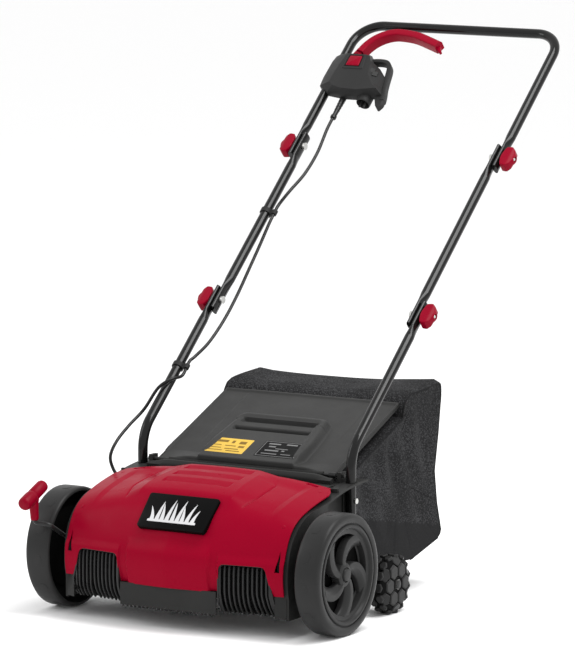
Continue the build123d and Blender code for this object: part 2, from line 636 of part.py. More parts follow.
def upper_handle():
    """The U-shaped top of the handle."""
    start = S_UPPER + 52
    points = [handle_point(x, s, 0) for x, s in ((-HANDLE_X, start), (-HANDLE_X, S_GRIP),
                                                 (HANDLE_X, S_GRIP), (HANDLE_X, start))]
    body = tube(points, TUBE_R, TUBE_WALL, 52.0)
    for side in (-1, 1):
        body += flat_end(side * HANDLE_X, start, S_UPPER - 26, -1)
        body -= local_bar(side * HANDLE_X - 15, side * HANDLE_X + 15, S_UPPER, 0, 3.1)
    return body


def carriage_bolts():
    """Four round-headed bolts, heads inside, one through each fold of the handle."""
    bolts = []
    for s in (S_LOWER, S_UPPER):
        for side in (-1, 1):
            shank = local_bar(side * (MID_X - 6), side * (HANDLE_X + 24), s, 0, 3.0)
            head = local_bar(side * (MID_X - 9), side * (MID_X - FLAT_T / 2), s, 0, 7.0)
            bolts.append(shank + head)
    return Compound(bolts)


def wing_knob(side, s):
    """A red wing knob: a stout tapered bar with a round foot, on the outer side of the tubes."""
    foot_x = HANDLE_X + FLAT_T / 2 + 0.3
    outline = make_face(Polyline((0, -21), (6, -21), (22, -15), (22, 15), (6, 21), (0, 21), close=True))
    wing = Pos(0, 0, -9) * extrude(outline, amount=18)
    wing = fillet(wing.edges().filter_by(Axis.Z), 2.5)
    knob = wing + Pos(3, 0, 0) * Rot(0, 90, 0) * Cylinder(12, 6)
    knob -= Pos(11, 0, 0) * Rot(0, 90, 0) * Cylinder(3 + RUN, 40)
    knob -= Pos(21, 0, 0) * Rot(0, 90, 0) * Cylinder(5.5, 4)
    knob = Pos(foot_x, 0, 0) * knob
    if side < 0:
        knob = mirror(knob, about=Plane.YZ)
    return HANDLE * Pos(0, s, 0) * knob


def lower_tube_screws():
    """One screw through each lower tube into the deck."""
    screw = bar_x(POCKET_HALF - 4.5, HANDLE_X + TUBE_R, HANDLE_Y, 209, 2.5)
    screw += bar_x(HANDLE_X + TUBE_R, HANDLE_X + TUBE_R + 3.0, HANDLE_Y, 209, 5.0)
    return Compound(both(screw))


# ---------------------------------------------------------------- switch box

BOX_S0 = 838.0
BOX_SHAPE = [(-231, 858), (-196, 838), (-85, 841), (-82, 851), (-112, 891), (-154, 946), (-225, 946),
             (-231, 934)]
INLET_X, SLEEVE_X = -124.0, -171.0
BUTTON_X, BUTTON_S = -168.5, 914.5


def base_slope(shift):
    """The wedge that is cut off the base's lower edge, so that the box's back slopes in."""
    side = make_face(Polyline((800, -3), (835 + shift, -3), (862 + shift, -26), (800, -26), close=True))
    return Pos(-156, 0, 0) * extrude(Plane.YZ * side, amount=90, both=True)


def switch_box(upper):
    """Half of the switch box: it is split in the handle's plane and clamps the tube."""
    outline = make_face(Polyline(*BOX_SHAPE, close=True))
    outline = fillet(outline.vertices(), 4)
    low, high = (0.1, 26.0) if upper else (-22.0, -0.1)
    body = Pos(0, 0, low) * extrude(outline, amount=high - low)
    floor, depth = (0.0, 22.0) if upper else (-18.0, 18.0)
    hollow = Pos(0, 0, floor) * extrude(offset(outline, -3.0), amount=depth)
    if not upper:
        body -= base_slope(0.0)
        hollow -= base_slope(4.0)
    body -= hollow - Pos(-HANDLE_X, 892, 0) * Box(30, 140, 60)
    body -= Pos(-HANDLE_X, 892, 0) * Rot(90, 0, 0) * Cylinder(TUBE_R + RUN, 160)
    slot = Pos(-168, 946, LEVER_N) * Box(54, 44, 20)
    body -= slot
    if not upper:
        body += Pos(*LEVER_PIVOT, -2) * Cylinder(3, 38)
    if upper:
        body -= Pos(BUTTON_X, BUTTON_S, 20) * Box(30.4, 26.4, 20)
    body -= Pos(INLET_X, BOX_S0, 0) * Rot(90, 0, 0) * Cylinder(14.1, 36)
    body -= Pos(SLEEVE_X, BOX_S0, 0) * Rot(90, 0, 0) * Cylinder(6.6, 30)
    return HANDLE * body


def cable_hook():
    """The loop beside the box that takes the strain off an extension lead, ending in a peg."""
    path = FilletPolyline((-150, 936, 0), (-117, 935, 0), (-104, 916, 0), (-91, 862, 0), (-84, 842, 0),
                          (-86, 816, 0), radius=8)
    loop = sweep(Plane(origin=path @ 0, z_dir=path % 0) * RectangleRounded(9, 14, 3), path=path)
    box = make_face(Polyline(*BOX_SHAPE, close=True))
    return HANDLE * (loop - Pos(0, 0, -30) * extrude(offset(box, 0.1), amount=60))


def plug_inlet():
    """The round plug socket under the box, with two pins."""
    body = Cylinder(14, 28) - Pos(0, 0, 6) * Cylinder(11.5, 20)
    for x in (-4.5, 4.5):
        body += Pos(x, 0, 6) * Cylinder(2.0, 26)
    body = Pos(INLET_X, BOX_S0 + 3, 0) * Rot(90, 0, 0) * body
    return HANDLE * body


def bend_protector():
    """The tapered rubber sleeve where the motor cable leaves the box."""
    collar = Pos(SLEEVE_X, BOX_S0 + 3, 0) * Rot(90, 0, 0) * Cylinder(6.5, 14)
    taper = Pos(SLEEVE_X, BOX_S0 - 25, 0) * Rot(90, 0, 0) * Cone(6.0, 4.2, 46)
    ring = Pos(SLEEVE_X, BOX_S0 - 47, 0) * Rot(90, 0, 0) * Cylinder(5.2, 5)
    sleeve = collar + taper + ring
    bore = Pos(SLEEVE_X, BOX_S0 - 20, 0) * Rot(90, 0, 0) * Cylinder(CABLE_D / 2 + RUN, 80)
    return HANDLE * (sleeve - bore)


LEVER_PIVOT = (-182.0, 937.0)
LEVER_N = 10.0


def switch_lever():
    """The red switch lever: a channel that arches from the box along the crossbar."""
    line = [(-176, 948), (-158, 984), (-120, 1002), (-72, 997), (-16, 975)]
    path = Spline(*[(x, s, LEVER_N) for x, s in line])
    start = Plane(origin=path @ 0, z_dir=path % 0, x_dir=(0, 0, 1))
    arch = sweep(start * Rectangle(18, 14), path=path)
    hub = Pos(*LEVER_PIVOT, LEVER_N) * Cylinder(8, 15)
    hub += Pos(-179, 942, LEVER_N) * Rot(0, 0, -25) * Box(13, 16, 15)
    lever = arch + hub
    return HANDLE * (lever - Pos(*LEVER_PIVOT, LEVER_N) * Cylinder(3 + RUN, 40))


def safety_button():
    """The square red lock-off button."""
    button = Pos(BUTTON_X, BUTTON_S, 24.5) * Box(29.6, 25.6, 9)
    return HANDLE * fillet(button.edges().filter_by(Axis.Z), 3)


# ---------------------------------------------------------------- cable

def cord(name, points, diameter):
    """A cable along straight runs and the largest arcs that fit. It prints its radii and its length."""
    radii = []
    for before, here, after in zip(points, points[1:], points[2:]):
        into = Vector(*here) - Vector(*before)
        out = Vector(*after) - Vector(*here)
        half = math.radians(into.get_angle(out)) / 2
        radii.append(0.45 * min(into.length, out.length) / math.tan(half))
    path = FilletPolyline(*points, radius=radii)
    solid = sweep(Plane(origin=path @ 0, z_dir=path % 0) * Circle(diameter / 2), path=path)
    ideal = math.pi * diameter ** 2 / 4 * path.length
    print(name, "length", round(path.length), "radii", [round(r) for r in radii],
          "volume ratio", round(solid.volume / ideal, 4))
    return solid


CLIP_UPPER_S, CLIP_LOWER_S = 545.0, 160.0
CLIP_REACH = TUBE_R + 9.0

UPPER_ROUTE = [(-171, 812, 0), (-171, 764, 0), (-168, 705, -4), (-171, 650, -4), (-179, 600, 1),
               (-MID_X + CLIP_REACH, 565, 0), (-MID_X + CLIP_REACH, 545.2, 0)]
MIDDLE_ROUTE = [(-MID_X + CLIP_REACH, 544.8, 0), (-MID_X + CLIP_REACH, 520, -1), (-188, 470, -8),
                (-188.5, 415, -14), (-189, 355, -20), (-189.5, 295, -21), (-191, 235, -15),
                (-195, 190, -4), (-HANDLE_X + CLIP_REACH, 175, 0), (-HANDLE_X + CLIP_REACH, 160.2, 0)]


def handle_route(route):
    """A route given in the handle's plane, as points in the machine's frame."""
    return [handle_point(*point) for point in route]


def lower_route():
    """The last stretch: over the tube to the outside, down in a loose bow and in under the rim."""
    clip_x = -HANDLE_X + CLIP_REACH
    return [handle_point(clip_x, 159.8, 0), handle_point(clip_x, 138, 0), handle_point(-205, 116, 14),
            handle_point(-221, 92, 15), (-240, 196, 330), (-248, 158, 305), (-250, 120, 282),
            (-250, 98, 258), (-245, 98, 233), (-231, 99, 216), (-214, 100, 214), (-207, 100, 214)]


def cable_clip(x, s):
    """A black double ring: one round the tube, one round the cable."""
    tube_ring = Pos(x, s, 0) * Rot(90, 0, 0) * (Cylinder(TUBE_R + 2.2, 9) - Cylinder(TUBE_R + 0.05, 12))
    cable_ring = Pos(x + CLIP_REACH, s, 0) * Rot(90, 0, 0) * Cylinder(CABLE_D / 2 + 2.2, 9)
    bridge = Pos(x + TUBE_R + 4, s, 0) * Box(6, 9, 6)
    clip = tube_ring + cable_ring + bridge
    clip -= Pos(x, s, 0) * Rot(90, 0, 0) * Cylinder(TUBE_R + 0.05, 12)
    clip -= Pos(x + CLIP_REACH, s, 0) * Rot(90, 0, 0) * Cylinder(CABLE_D / 2 + 0.3, 12)
    return HANDLE * clip


def cable_gland():
    """The rubber bush where the cable enters the deck."""
    bush = bar_x(-POCKET_HALF - 3, -POCKET_HALF + WALL + 3, 100, 214, 5.9)
    bush += bar_x(-POCKET_HALF - 3, -POCKET_HALF, 100, 214, 9)
    return bush - bar_x(-POCKET_HALF - 3.1, -POCKET_HALF - 0.5, 100, 214, CABLE_D / 2 + 0.05)


# ---------------------------------------------------------------- write everything

def main():
    os.makedirs("parts", exist_ok=True)
    keep("deck_housing", deck_housing())
    keep("motor_hood", motor_hood())
    keep("vent_grilles", Compound([vent_grille(-1), vent_grille(1)]))
    keep("badge_plate", badge_plate())
    keep("hood_screws", hood_screws())
    for name, shape in motor_pieces().items():
        keep(name, shape)
    keep("drive_belt", drive_belt())
    keep("belt_cover", belt_cover())
    for name, shape in drum_pieces().items():
        keep(name, shape)
    keep("drum_bearings", drum_bearings())
    for side, word in ((-1, "left"), (1, "right")):
        tread, rim, cap = front_wheel(side)
        keep(f"front_tyre_{word}", tread)
        keep(f"front_rim_{word}", rim)
        keep(f"front_hub_cap_{word}", cap)
        keep(f"rear_wheel_{word}", rear_wheel(side))
        keep(f"lower_tube_{word}", lower_tube(side))
        keep(f"mid_tube_{word}", mid_tube(side))
        keep(f"wing_knob_lower_{word}", wing_knob(side, S_LOWER))
        keep(f"wing_knob_upper_{word}", wing_knob(side, S_UPPER))
    keep("rear_axle", rear_axle())
    keep("front_axle", front_axle())
    keep("depth_grip", depth_grip())
    keep("depth_detent_plate", depth_detent_plate())
    keep("discharge_flap", discharge_flap())
    keep("warning_label", flap_label(-49, 70))
    keep("rating_label", flap_label(49, 70))
    keep("flap_hinge_pin", flap_hinge_pin())
    keep("flap_spring", flap_spring())
    keep("catcher_bag", catcher_bag())
    keep("catcher_frame", catcher_frame())
    keep("upper_handle", upper_handle())
    keep("carriage_bolts", carriage_bolts())
    keep("lower_tube_screws", lower_tube_screws())
    keep("switch_box_cover", switch_box(True))
    keep("switch_box_base", switch_box(False))
    keep("cable_hook", cable_hook())
    keep("plug_inlet", plug_inlet())
    keep("bend_protector", bend_protector())
    keep("switch_lever", switch_lever())
    keep("safety_button", safety_button())
    keep("cable_clip_upper", cable_clip(-MID_X, CLIP_UPPER_S))
    keep("cable_clip_lower", cable_clip(-HANDLE_X, CLIP_LOWER_S))
    keep("cable_gland", cable_gland())
    keep("cable_upper", cord("cable_upper", handle_route(UPPER_ROUTE), CABLE_D))
    keep("cable_middle", cord("cable_middle", handle_route(MIDDLE_ROUTE), CABLE_D))
    keep("cable_lower", cord("cable_lower", lower_route(), CABLE_D))


main()
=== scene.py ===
import math

import bmesh
import bpy
import numpy as np
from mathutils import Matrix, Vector
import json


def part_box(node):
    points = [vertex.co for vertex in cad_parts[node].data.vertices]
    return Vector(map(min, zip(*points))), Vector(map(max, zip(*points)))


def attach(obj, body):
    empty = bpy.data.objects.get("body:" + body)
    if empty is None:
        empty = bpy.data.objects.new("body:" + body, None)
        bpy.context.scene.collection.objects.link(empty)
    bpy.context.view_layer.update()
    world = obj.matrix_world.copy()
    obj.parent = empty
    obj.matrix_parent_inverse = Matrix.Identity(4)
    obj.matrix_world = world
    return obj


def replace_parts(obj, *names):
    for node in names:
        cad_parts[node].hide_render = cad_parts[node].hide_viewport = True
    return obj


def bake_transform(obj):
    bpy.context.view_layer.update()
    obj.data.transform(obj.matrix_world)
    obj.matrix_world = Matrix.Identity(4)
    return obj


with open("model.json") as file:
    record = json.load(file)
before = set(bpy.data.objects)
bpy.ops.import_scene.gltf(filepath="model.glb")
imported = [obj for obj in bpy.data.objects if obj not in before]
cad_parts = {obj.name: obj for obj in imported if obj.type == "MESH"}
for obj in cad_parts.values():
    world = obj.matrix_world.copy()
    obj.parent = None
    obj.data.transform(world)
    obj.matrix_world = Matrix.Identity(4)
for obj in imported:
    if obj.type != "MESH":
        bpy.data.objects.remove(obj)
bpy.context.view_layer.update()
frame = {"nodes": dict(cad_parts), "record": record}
NODES = frame["nodes"]

# The front axle gives the design frame's y = 0; everything below is in millimetres from it.
low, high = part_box("front_tyre_left")
Y0 = (low.y + high.y) / 2
LEAN = math.radians(49.3)
SL, CL = math.sin(LEAN), math.cos(LEAN)
HANDLE_FOOT_Y, HANDLE_FOOT_Z = 153, 296


def D(x, y, z):
    """A point of the design frame, in metres in the row frame."""
    return (x / 1000, y / 1000 + Y0, z / 1000)


def H(x, s, n):
    """A point of the handle's plane: across, up along the tubes, off the upper side."""
    return D(x, HANDLE_FOOT_Y + s * SL - n * CL, HANDLE_FOOT_Z + s * CL + n * SL)


# -------- materials

def add(t, kind, **values):
    """A new shader node with some of its inputs set."""
    n = t.nodes.new("ShaderNode" + kind)
    for name, value in values.items():
        n.inputs[name].default_value = value
    return n


def nodes_of(name):
    m = bpy.data.materials.new(name)
    m.use_nodes = True
    t = m.node_tree
    t.nodes.clear()
    p = add(t, "BsdfPrincipled")
    t.links.new(p.outputs[0], add(t, "OutputMaterial").inputs[0])
    return m, t, p, add(t, "TexCoord")


def noise(t, coord, scale, detail=3.0, rough=0.6):
    n = add(t, "TexNoise", Scale=scale, Detail=detail, Roughness=rough)
    t.links.new(coord.outputs["Object"], n.inputs["Vector"])
    return n.outputs["Fac"]


def ramp(t, src, target, stops):
    """Sends a value to an input through a colour ramp of two stops."""
    r = add(t, "ValToRGB")
    for element, (position, colour) in zip(r.color_ramp.elements, stops):
        element.position = position
        element.color = (*colour, 1)
    t.links.new(src, r.inputs[0])
    t.links.new(r.outputs[0], target)


def bump(t, p, height, strength, distance):
    b = add(t, "Bump", Strength=strength, Distance=distance)
    t.links.new(height, b.inputs["Height"])
    t.links.new(b.outputs[0], p.inputs["Normal"])


def surface(name, colour, rough, spec, metal=0.0, grain=900.0, grain_depth=0.00008, vary=0.12):
    """A moulded or painted finish: fine grain, slow colour drift and uneven gloss."""
    m, t, p, coord = nodes_of(name)
    p.inputs["Metallic"].default_value = metal
    p.inputs["Specular IOR Level"].default_value = spec
    dark = tuple(c * (1 - vary) for c in colour)
    light = tuple(min(1.0, c * (1 + vary)) for c in colour)
    ramp(t, noise(t, coord, 7.0, 4.0), p.inputs["Base Color"], [(0.3, dark), (0.7, light)])
    lo, hi = max(0.03, rough - 0.06), min(1.0, rough + 0.06)
    ramp(t, noise(t, coord, 34.0, 5.0), p.inputs["Roughness"], [(0.3, grey(lo)), (0.7, grey(hi))])
    bump(t, p, noise(t, coord, grain, 2.0, 0.5), 0.35, grain_depth)
    return m


def brushed(name, colour, rough):
    """Bare metal with fine lines drawn along X."""
    m, t, p, coord = nodes_of(name)
    p.inputs["Metallic"].default_value = 1.0
    stretch = add(t, "Mapping", Scale=(60.0, 900.0, 900.0))
    t.links.new(coord.outputs["Object"], stretch.inputs["Vector"])
    n = add(t, "TexNoise", Scale=1.5, Detail=3.0)
    t.links.new(stretch.outputs[0], n.inputs["Vector"])
    lines = n.outputs["Fac"]
    ramp(t, lines, p.inputs["Base Color"], [(0.3, tuple(c * 0.8 for c in colour)), (0.7, colour)])
    ramp(t, lines, p.inputs["Roughness"], [(0.3, grey(rough)), (0.75, grey(rough + 0.15))])
    bump(t, p, lines, 0.3, 0.00005)
    return m


def woven(name, base, fleck, fleck_at, rough):
    """Open woven mesh cloth: a fine grid of threads with paler flecks where light comes through."""
    m, t, p, coord = nodes_of(name)
    p.inputs["Specular IOR Level"].default_value = 0.12
    p.inputs["Roughness"].default_value = rough
    flecks = add(t, "Math")
    flecks.operation = "MULTIPLY_ADD"
    flecks.inputs[1].default_value = 0.35
    t.links.new(noise(t, coord, 9.0, 3.0), flecks.inputs[0])
    t.links.new(noise(t, coord, 420.0, 1.0, 0.4), flecks.inputs[2])
    ramp(t, flecks.outputs[0], p.inputs["Base Color"], [(fleck_at, base), (fleck_at + 0.13, fleck)])
    weave = add(t, "Math")
    weave.operation = "MULTIPLY"
    for i, axis in enumerate("YZ"):
        w = add(t, "TexWave", Scale=260.0, Distortion=0.6)
        w.bands_direction = axis
        t.links.new(coord.outputs["Object"], w.inputs["Vector"])
        t.links.new(w.outputs["Fac"], weave.inputs[i])
    bump(t, p, weave.outputs[0], 0.4, 0.0002)
    return m


def grey(level):
    return (level, level, level)


FINE = {"grain_depth": 0.00002}     # in metres, for a polished or printed face
FINISHES = {            # colour, roughness, specular level, and what differs from a plain moulding
    "black_plastic": (grey(0.020), 0.46, 0.10, {}),
    "deck_plastic": ((0.020, 0.020, 0.0195), 0.42, 0.10, {}),
    # painted shade: a near-black, darker than the plastic itself, for the wheel insides, the rear wheel
    # grooves, the grille's backing and the button's well
    "painted_shade_plastic": (grey(0.004), 0.6, 0.04, {}),
    "grille_plastic": (grey(0.010), 0.30, 0.25, {}),
    "grey_plastic": ((0.036, 0.036, 0.0355), 0.5, 0.10, {"grain": 1400.0}),
    "box_plastic": (grey(0.0205), 0.45, 0.10, {"grain": 1400.0}),
    "wheel_plastic": (grey(0.020), 0.38, 0.14, {}),
    "red_plastic": ((0.240, 0.0005, 0.0140), 0.32, 0.035, {**FINE, "vary": 0.03}),
    "red_small": ((0.205, 0.0006, 0.0120), 0.30, 0.06, {**FINE, "vary": 0.04}),
    "badge_black": (grey(0.0015), 0.35, 0.06, FINE),
    "tube_paint": (grey(0.004), 0.15, 0.26, {"grain_depth": 0.00001}),
    "dark_steel": (grey(0.015), 0.3, 0.3, {"metal": 0.2}),
    "cable_rubber": (grey(0.006), 0.28, 0.25, {"grain": 700.0}),
    "belt_rubber": (grey(0.012), 0.7, 0.2, {"grain": 500.0, "grain_depth": 0.0003}),
    "label_yellow": ((0.56, 0.36, 0.050), 0.5, 0.3, FINE),
    "label_black": (grey(0.004), 0.4, 0.06, FINE),
    "print_pale": (grey(0.14), 0.45, 0.2, FINE),
    "print_dark": ((0.16, 0.095, 0.012), 0.5, 0.2, FINE),
    "badge_pale": ((0.55, 0.55, 0.56), 0.35, 0.3, FINE),
}
METALS = {
    "zinc_steel": ((0.60, 0.60, 0.58), 0.28),
    "blade_steel": (grey(0.42), 0.35),
    "motor_steel": ((0.35, 0.35, 0.36), 0.4),
    "cast_alloy": ((0.55, 0.55, 0.56), 0.5),
}
THREAD = (0.0125, 0.0125, 0.013)
M = {name: surface(name, *finish, **more) for name, (*finish, more) in FINISHES.items()}
M.update({name: brushed(name, *finish) for name, finish in METALS.items()})
M["bag_fabric"] = woven("bag_fabric", THREAD, (0.042, 0.042, 0.044), 0.66, 0.95)
M["bag_band"] = woven("bag_band", THREAD, (0.017, 0.017, 0.018), 0.7, 0.9)


# -------- mesh helpers

def make(name, mesh, mat, body, sharp=35.0, slot=None, bevel=0.0, segments=2, outward=False, replaces=None):
    """A piece from (verts, faces) in the row frame that rides on a body. bevel is in millimetres."""
    verts, faces = mesh
    me = bpy.data.meshes.new(name)
    me.from_pydata([tuple(v) for v in verts], [], [tuple(int(i) for i in f) for f in faces])
    me.validate()
    if outward:
        turned = bmesh.new()
        turned.from_mesh(me)
        bmesh.ops.recalc_face_normals(turned, faces=turned.faces)
        turned.to_mesh(me)
        turned.free()
    me.update()
    o = bpy.data.objects.new(name, me)
    bpy.context.scene.collection.objects.link(o)
    o.data.materials.append(M[mat])
    me.shade_smooth()
    me.set_sharp_from_angle(angle=math.radians(sharp))
    if bevel:
        b = o.modifiers.new("edge", "BEVEL")
        b.width = bevel / 1000
        b.segments = segments
        b.limit_method = "ANGLE"
        b.angle_limit = math.radians(30)
        b.harden_normals = True
    if body:
        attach(o, body)
    if replaces:
        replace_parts(o, replaces)
    return o


def skin(o, thickness, offset=-1.0):
    """Gives a single-sided shell its thickness, in metres."""
    solid = o.modifiers.new("skin", "SOLIDIFY")
    solid.thickness = thickness
    solid.offset = offset


def grid_faces(nu, nv, wrap_u=False, wrap_v=False, flip=False):
    faces = []
    for i in range(nu if wrap_u else nu - 1):
        for j in range(nv if wrap_v else nv - 1):
            a = i * nv + j
            b = ((i + 1) % nu) * nv + j
            c = ((i + 1) % nu) * nv + (j + 1) % nv
            d = i * nv + (j + 1) % nv
            faces.append((a, d, c, b) if flip else (a, b, c, d))
    return faces


def tube_faces(rings, n, flip=False):
    """Faces of a closed body through rings of n points each, with both ends capped."""
    first, last = tuple(range(n)), tuple(range((rings - 1) * n, rings * n))
    ends = [first[::-1], last] if flip else [first, last[::-1]]
    return grid_faces(rings, n, wrap_v=True, flip=flip) + ends


def lathe_x(profile, centre, side, segments=96):
    """Verts and faces of a solid turned about X. profile is (outwards from the centre, radius)."""
    verts, n = [], len(profile)
    for i in range(segments):
        a = 2 * math.pi * i / segments
        for out, r in profile:
            verts.append(D(centre[0] + side * out, centre[1] + r * math.cos(a), centre[2] + r * math.sin(a)))
    return verts, grid_faces(segments, n, wrap_u=True, flip=side < 0)


def smooth_line(points, count):
    """A smooth line of count points through the given ones (Catmull-Rom, by even arc length)."""
    p = np.array(points, float)
    q = np.vstack([2 * p[0] - p[1], p, 2 * p[-1] - p[-2]])
    fine = []
    for i in range(1, len(q) - 2):
        for t in np.linspace(0, 1, 24, endpoint=False):
            a, b, c, d = q[i - 1], q[i], q[i + 1], q[i + 2]
            fine.append(0.5 * ((2 * b) + (c - a) * t + (2 * a - 5 * b + 4 * c - d) * t * t
                               + (3 * b - a - 3 * c + d) * t ** 3))
    fine = np.array(fine + [q[-2]])
    run = np.r_[0, np.cumsum(np.linalg.norm(np.diff(fine, axis=0), axis=1))]
    at = np.linspace(0, run[-1], count)
    return np.stack([np.interp(at, run, fine[:, k]) for k in range(fine.shape[1])], axis=1)


def sweep(path, section, up=(0, 0, 1), scale=None):
    """Verts and faces of a closed section (2D, mm) carried along a path in metres."""
    path = np.array(path, float)
    tangents = np.gradient(path, axis=0)
    tangents /= np.linalg.norm(tangents, axis=1)[:, None]
    normal = np.array(up, float)
    verts = []
    for i, (p, t) in enumerate(zip(path, tangents)):
        normal = normal - t * (normal @ t)
        normal /= np.linalg.norm(normal)
        side = np.cross(t, normal)
        k = 1.0 if scale is None else scale[i]
        for u, v in section:
            verts.append(p + (side * u + normal * v) * k / 1000)
    return verts, tube_faces(len(path), len(section))


def ring(radius, count):
    return [(radius * math.cos(2 * math.pi * i / count), radius * math.sin(2 * math.pi * i / count))
            for i in range(count)]


def rounded(outline, radius, steps=5):
    """A 2D outline with its corners rounded; radius may be one number or one per corner."""
    pts, n = [], len(outline)
    radii = [radius] * n if isinstance(radius, (int, float)) else radius
    for i in range(n):
        p = np.array(outline[i], float)
        a, b = np.array(outline[i - 1], float) - p, np.array(outline[(i + 1) % n], float) - p
        la, lb = np.linalg.norm(a), np.linalg.norm(b)
        r = radii[i]
        if r <= 0:
            pts.append(tuple(p))
            continue
        half = math.acos(max(-1, min(1, (a @ b) / la / lb))) / 2
        cut = min(r / math.tan(half), 0.48 * la, 0.48 * lb)
        s, e = p + a / la * cut, p + b / lb * cut
        for k in range(steps + 1):
            t = k / steps
            pts.append(tuple((1 - t) ** 2 * s + 2 * t * (1 - t) * p + t * t * e))
    return pts


def prism(outline, levels, place):
    """Verts and faces of a body with a 2D outline at several levels: (level, inset)."""
    pts = np.array(outline, float)
    before, after = np.roll(pts, 1, axis=0), np.roll(pts, -1, axis=0)
    d = after - before
    d /= np.linalg.norm(d, axis=1)[:, None]
    area = np.sum(pts[:, 0] * after[:, 1] - after[:, 0] * pts[:, 1])
    inward = np.stack([-d[:, 1], d[:, 0]], axis=1) * (1 if area > 0 else -1)
    verts = [place(x, y, level) for level, inset in levels for x, y in pts + inward * inset]
    return verts, tube_faces(len(levels), len(pts), flip=area > 0)


def join(parts):
    """Several (verts, faces) as one."""
    verts, faces = [], []
    for v, f in parts:
        base = len(verts)
        verts += [tuple(p) for p in v]
        faces += [tuple(i + base for i in face) for face in f]
    return verts, faces


def box_part(x0, x1, y0, y1, z0, z1, place):
    v = [place(x, y, z) for x in (x0, x1) for y in (y0, y1) for z in (z0, z1)]
    f = [(0, 1, 3, 2), (4, 6, 7, 5), (0, 4, 5, 1), (2, 3, 7, 6), (0, 2, 6, 4), (1, 5, 7, 3)]
    return v, f


def step(x, a, b):
    """0 before a, 1 after b, smooth between them."""
    t = np.clip((x - a) / (b - a), 0, 1)
    return t * t * (3 - 2 * t)


# -------- CAD nodes

LOOKS = {"deck_housing": "deck_plastic", "hood_screws": "red_plastic", "belt_cover": "deck_plastic",
         "switch_box_cover": "box_plastic", "switch_box_base": "box_plastic", "cable_hook": "box_plastic",
         "plug_inlet": "box_plastic", "depth_grip": "red_small", "switch_lever": "red_small",
         "safety_button": "red_small", "flap_hinge_pin": "dark_steel", "flap_spring": "dark_steel"}
slots = {s["node"]: s["material_slot"] for s in frame["record"]["subparts"]}
for node, o in NODES.items():
    look = LOOKS.get(node, slots[node])
    if node.startswith("wing_knob"):
        look = "red_small"
    o.data.materials.clear()
    o.data.materials.append(M[look])

# -------- camera, stage and light

TARGET = Vector(D(-41, 367, 473))
AZ, EL, REACH = math.radians(30.7), math.radians(8.0), 10.141
FOCAL_ROWS, IMAGE_ROWS, SENSOR = 5611.0, 654.0, 36.0
back = Vector((math.sin(AZ) * math.cos(EL), -math.cos(AZ) * math.cos(EL), math.sin(EL)))
cam = bpy.data.objects.new("camera", bpy.data.cameras.new("camera"))
bpy.context.scene.collection.objects.link(cam)
cam.location = TARGET + back * REACH
cam.rotation_euler = (-back).to_track_quat("-Z", "Y").to_euler()
cam.data.sensor_fit = "VERTICAL"
cam.data.sensor_height = SENSOR
cam.data.lens = FOCAL_ROWS * SENSOR / IMAGE_ROWS
cam.data.clip_end = 60.0
bpy.context.scene.camera = cam
bpy.context.scene.view_settings.view_transform = "Standard"

world = bpy.data.worlds.new("studio")
bpy.context.scene.world = world
world.use_nodes = True
world.node_tree.nodes["Background"].inputs[0].default_value = (1.0, 1.0, 1.0, 1)
world.node_tree.nodes["Background"].inputs[1].default_value = 1.0


def lamp(name, place, size, energy, aim):
    data = bpy.data.lights.new(name, "AREA")
    data.shape = "RECTANGLE"
    data.size, data.size_y = size
    data.energy = energy
    o = bpy.data.objects.new(name, data)
    bpy.context.scene.collection.objects.link(o)
    o.location = place
    o.rotation_euler = (Vector(aim) - Vector(place)).to_track_quat("-Z", "Y").to_euler()


lamp("key", (1.25, 0.10, 3.0), (1.2, 2.6), 85, (0.0, 0.1, 0.5))
lamp("side", (-2.2, -1.6, 1.8), (0.8, 1.6), 14, (0.0, 0.0, 0.3))

floor_mat, t, p, coord = nodes_of("floor_white")
p.inputs["Base Color"].default_value = (0.98, 0.98, 0.98, 1)
p.inputs["Roughness"].default_value = 0.9
bump(t, p, noise(t, coord, 60.0), 0.05, 0.0005)
bpy.ops.mesh.primitive_plane_add(size=60, location=(0, 0, 0))
floor = bpy.context.object
floor.name = "floor"
floor.data.materials.append(floor_mat)

# -------- hood

# The hood's section at mid width and at its ends, as (y, z) from the front edge over to the rear edge.
CROWN = [(-111, 77), (-120, 125), (-103, 172), (-52, 229), (12, 248), (84, 256)]
SIDE = [(-88, 77), (-92, 108), (-86.5, 143), (-59, 191), (-12.5, 214.6), (92, 237)]
HOOD_HALF = 223.0
HOOD_CORNER = 30.0
FRONT_FACE_Y = -60.0


def spline(points, count):
    """Natural cubic spline through 2D points, by chord length."""
    q = np.array(points, float)
    d = np.r_[0, np.cumsum(np.hypot(*np.diff(q, axis=0).T))]
    m, h = len(q), np.diff(d)
    a, b = np.zeros((m, m)), np.zeros((m, 2))
    a[0, 0] = a[-1, -1] = 1
    for i in range(1, m - 1):
        a[i, i - 1], a[i, i], a[i, i + 1] = h[i - 1], 2 * (h[i - 1] + h[i]), h[i]
        b[i] = 6 * ((q[i + 1] - q[i]) / h[i] - (q[i] - q[i - 1]) / h[i - 1])
    c = np.linalg.solve(a, b)
    t = np.linspace(0, d[-1], count)
    k = np.clip(np.searchsorted(d, t, side="right") - 1, 0, m - 2)
    hh, u, v = h[k][:, None], (d[k + 1] - t)[:, None], (t - d[k])[:, None]
    return ((c[k] * u ** 3 + c[k + 1] * v ** 3) / (6 * hh) + (q[k] / hh - c[k] * hh / 6) * u
            + (q[k + 1] / hh - c[k + 1] * hh / 6) * v)


# Openings in the front face as (distance from mid width, z): the grille window and the slit beside it.
WINDOW = rounded([(101, 60), (104, 127), (190, 127), (206, 60)], [0, 11, 14, 0], 8)
SLIT = [(207.5, 119), (217.0, 119), (216, 133), (213, 156), (210.5, 135)]


